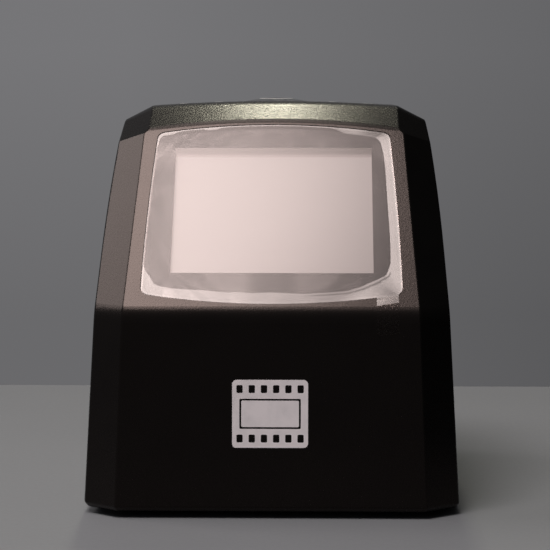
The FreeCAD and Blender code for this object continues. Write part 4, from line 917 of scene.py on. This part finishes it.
def ringSign(name, node, body, radius, gap):  # the gap, if any, is at the top of the ring
    x, y = keyCentre(node)
    piece = startPiece(bpy.ops.mesh.primitive_circle_add, vertices=48, radius=radius, fill_type="NGON",
                       location=(x, y, 0))
    edit(piece)
    bpy.ops.mesh.select_all(action="SELECT")
    bpy.ops.mesh.inset(thickness=signs["line"])
    selectParts(piece, "FACE", lambda p: len(p.vertices) > 8)
    bpy.ops.mesh.delete(type="FACE")
    if gap:
        selectParts(piece, "FACE", lambda p: p.center.y > 0 and abs(p.center.x) < gap)
        bpy.ops.mesh.delete(type="FACE")
    objectMode()
    finishSign(piece, name, node, body)


def houseSign():
    x, y = keyCentre("home_key")
    size = signs["house"]
    piece = startPiece(bpy.ops.mesh.primitive_plane_add, size=2 * size, location=(x, y, 0))
    edit(piece)
    selectParts(piece, "EDGE", lambda e: all(piece.data.vertices[i].co.y > 0 for i in e.vertices))
    bpy.ops.mesh.extrude_edges_move(TRANSFORM_OT_translate={"value": (0, size * signs["houseRoof"], 0)})
    bpy.ops.mesh.merge(type="CENTER")
    selectParts(piece, "VERT", lambda v: v.co.y < size * 0.5)
    bpy.ops.transform.resize(value=(signs["houseWalls"], 1, 1))
    bpy.ops.mesh.select_all(action="SELECT")
    bpy.ops.transform.translate(value=(0, -size * signs["houseDrop"], 0))
    objectMode()
    finishSign(piece, "homeSign", "home_key", "home")


def powerBar():
    x, y = keyCentre("power_key")
    piece = startPiece(bpy.ops.mesh.primitive_plane_add, size=signs["line"] * 1.1,
                       location=(x, y + signs["ring"] * signs["barUp"], 0))
    piece.scale = (1, signs["barLength"], 1)
    finishSign(piece, "powerBar", "power_key", "power")


peelFilm()
frontEmblem()
arrowSign(0)
arrowSign(1)
ringSign("okRing", "ok_key", "ok", signs["okRing"], 0)
ringSign("powerRing", "power_key", "power", signs["ring"], signs["ringGap"])
powerBar()
houseSign()
print("film, emblem and key signs made")

# Table and backdrop
stageLook = {"tableHalf": 0.157, "tableThickness": 0.012, "table": (0.115, 0.119, 0.128),
             "tableWorn": (0.124, 0.128, 0.137), "backdrop": (0.18, 0.179, 0.186),
             "backdropShadedRight": (0.093, 0.093, 0.097), "darkSide": (0.012, 0.012, 0.013), "lowShadeLevel": 0.79,
             "shadeRightFade": (-0.1, 0.3), "lightFade": (0.0, 0.32), "lowShadeFade": (-0.12, 0.02), "patchSize": 0.05,
             "grainSize": 0.0012, "grainDepth": 0.00002, "roughness": 0.65, "tableEdge": 0.0015}


def makeTable():
    material, shade = newMaterial("tableTop")
    spot = placeOn(shade)
    patches = noise(shade, spot, stageLook["patchSize"], 4.0)
    fine = noise(shade, spot, stageLook["grainSize"], 2.0)
    surface(shade, {
        "Base Color": mixColors(shade, patches, stageLook["table"], stageLook["tableWorn"]),
        "Roughness": stageLook["roughness"] + (fine - 0.5) * 0.1,
        "Normal": bump(shade, fine, stageLook["grainDepth"]),
    })
    table = startPiece(bpy.ops.mesh.primitive_cube_add, size=1, location=(0, 0, -stageLook["tableThickness"] / 2))
    table.name = "tableTop"
    table.scale = (2 * stageLook["tableHalf"], 2 * stageLook["tableHalf"], stageLook["tableThickness"])
    applyPlace(table)
    edit(table)
    bpy.ops.mesh.select_all(action="SELECT")
    bpy.ops.mesh.bevel(offset=stageLook["tableEdge"], segments=3)
    objectMode()
    table.data.materials.append(material)


def makeWorld():  # a backdrop with painted shade, a little darker to the right and low down, and a dark room on the right
    world = bpy.data.worlds.new("room")
    bpy.context.scene.world = world
    world.use_nodes = True
    world.node_tree.nodes.clear()
    shade = Shade(world.node_tree)
    toward = shade.node("ShaderNodeTexCoord", out="Generated")
    parts = shade.node("ShaderNodeSeparateXYZ", None, {"Vector": toward})
    up = Shade(shade.tree, parts.socket.node.outputs["Z"])
    # Painted shade on the backdrop the camera sees: darker to the right and low down
    shadeRight = ranged(shade, parts, *stageLook["shadeRightFade"])
    seen = mixColors(shade, shadeRight, stageLook["backdrop"], stageLook["backdropShadedRight"])
    level = 1 - (1 - ranged(shade, up, *stageLook["lowShadeFade"])) * (1 - stageLook["lowShadeLevel"])
    seen = shade.node("ShaderNodeVectorMath", {"operation": "SCALE"}, {0: seen, "Scale": level})
    darkRight = ranged(shade, parts, *stageLook["lightFade"])
    lighting = mixColors(shade, darkRight, stageLook["backdrop"], stageLook["darkSide"])
    isCamera = shade.node("ShaderNodeLightPath", out="Is Camera Ray")
    color = mixColors(shade, isCamera, lighting, seen)
    backdrop = shade.node("ShaderNodeBackground", None, {"Color": color, "Strength": 1.0})
    shade.node("ShaderNodeOutputWorld", None, {"Surface": backdrop})


makeTable()
makeWorld()

# Soft lamps: one above in front on the left, a dim one overhead, one at the left, a small warm one above behind
lamps = {
    "overheadSoftbox": {"at": (-0.154, -0.275, 0.80), "size": (0.35, 0.31), "radiance": 20.5,
                        "color": (1.0, 0.94, 0.91)},
    "topFill": {"at": (-0.04, 0.12, 0.86), "size": (0.16, 0.26), "radiance": 6.0, "color": (1.0, 0.94, 0.88)},
    "leftSoftbox": {"at": (-0.66, 0.10, 0.63), "size": (0.4, 0.4), "radiance": 6.0, "color": (1.0, 0.93, 0.9)},
    "rearTopLamp": {"at": (-0.018, 0.57, 0.84), "size": (0.06, 0.06), "radiance": 150.0, "color": (1.0, 1.0, 0.79)},
}
lampAim = Vector((0, -0.02, 0.06))


def addLamp(name, look):
    deselectAll()
    bpy.ops.object.light_add(type="AREA", location=look["at"])
    lamp = bpy.context.object
    lamp.name = name
    lamp.data.shape = "RECTANGLE"
    lamp.data.size, lamp.data.size_y = look["size"]
    lamp.data.energy = look["radiance"] * math.pi * look["size"][0] * look["size"][1]
    lamp.data.color = look["color"]
    lamp.rotation_euler = (lampAim - Vector(look["at"])).to_track_quat("-Z", "Y").to_euler()


for name, look in lamps.items():
    addLamp(name, look)

# Camera as in the photograph: slightly above, slightly from the right
view = {"distance": 0.4802, "aroundDegrees": 1.22, "height": 0.1019, "turnDegrees": 1.215, "downDegrees": 5.7,
        "focalLength": 121.85, "sensorWidth": 36.0, "clipStart": 0.01}
around = math.radians(view["aroundDegrees"])
place = (view["distance"] * math.sin(around), -view["distance"] * math.cos(around), view["height"])
deselectAll()
bpy.ops.object.camera_add(location=place, rotation=Euler((
    math.radians(90 - view["downDegrees"]), 0, math.radians(view["turnDegrees"]))))
camera = bpy.context.object
camera.data.lens = view["focalLength"]
camera.data.sensor_width = view["sensorWidth"]
camera.data.clip_start = view["clipStart"]
bpy.context.scene.camera = camera
bpy.context.scene.view_settings.view_transform = "Standard"
print("table, lamps and camera placed")
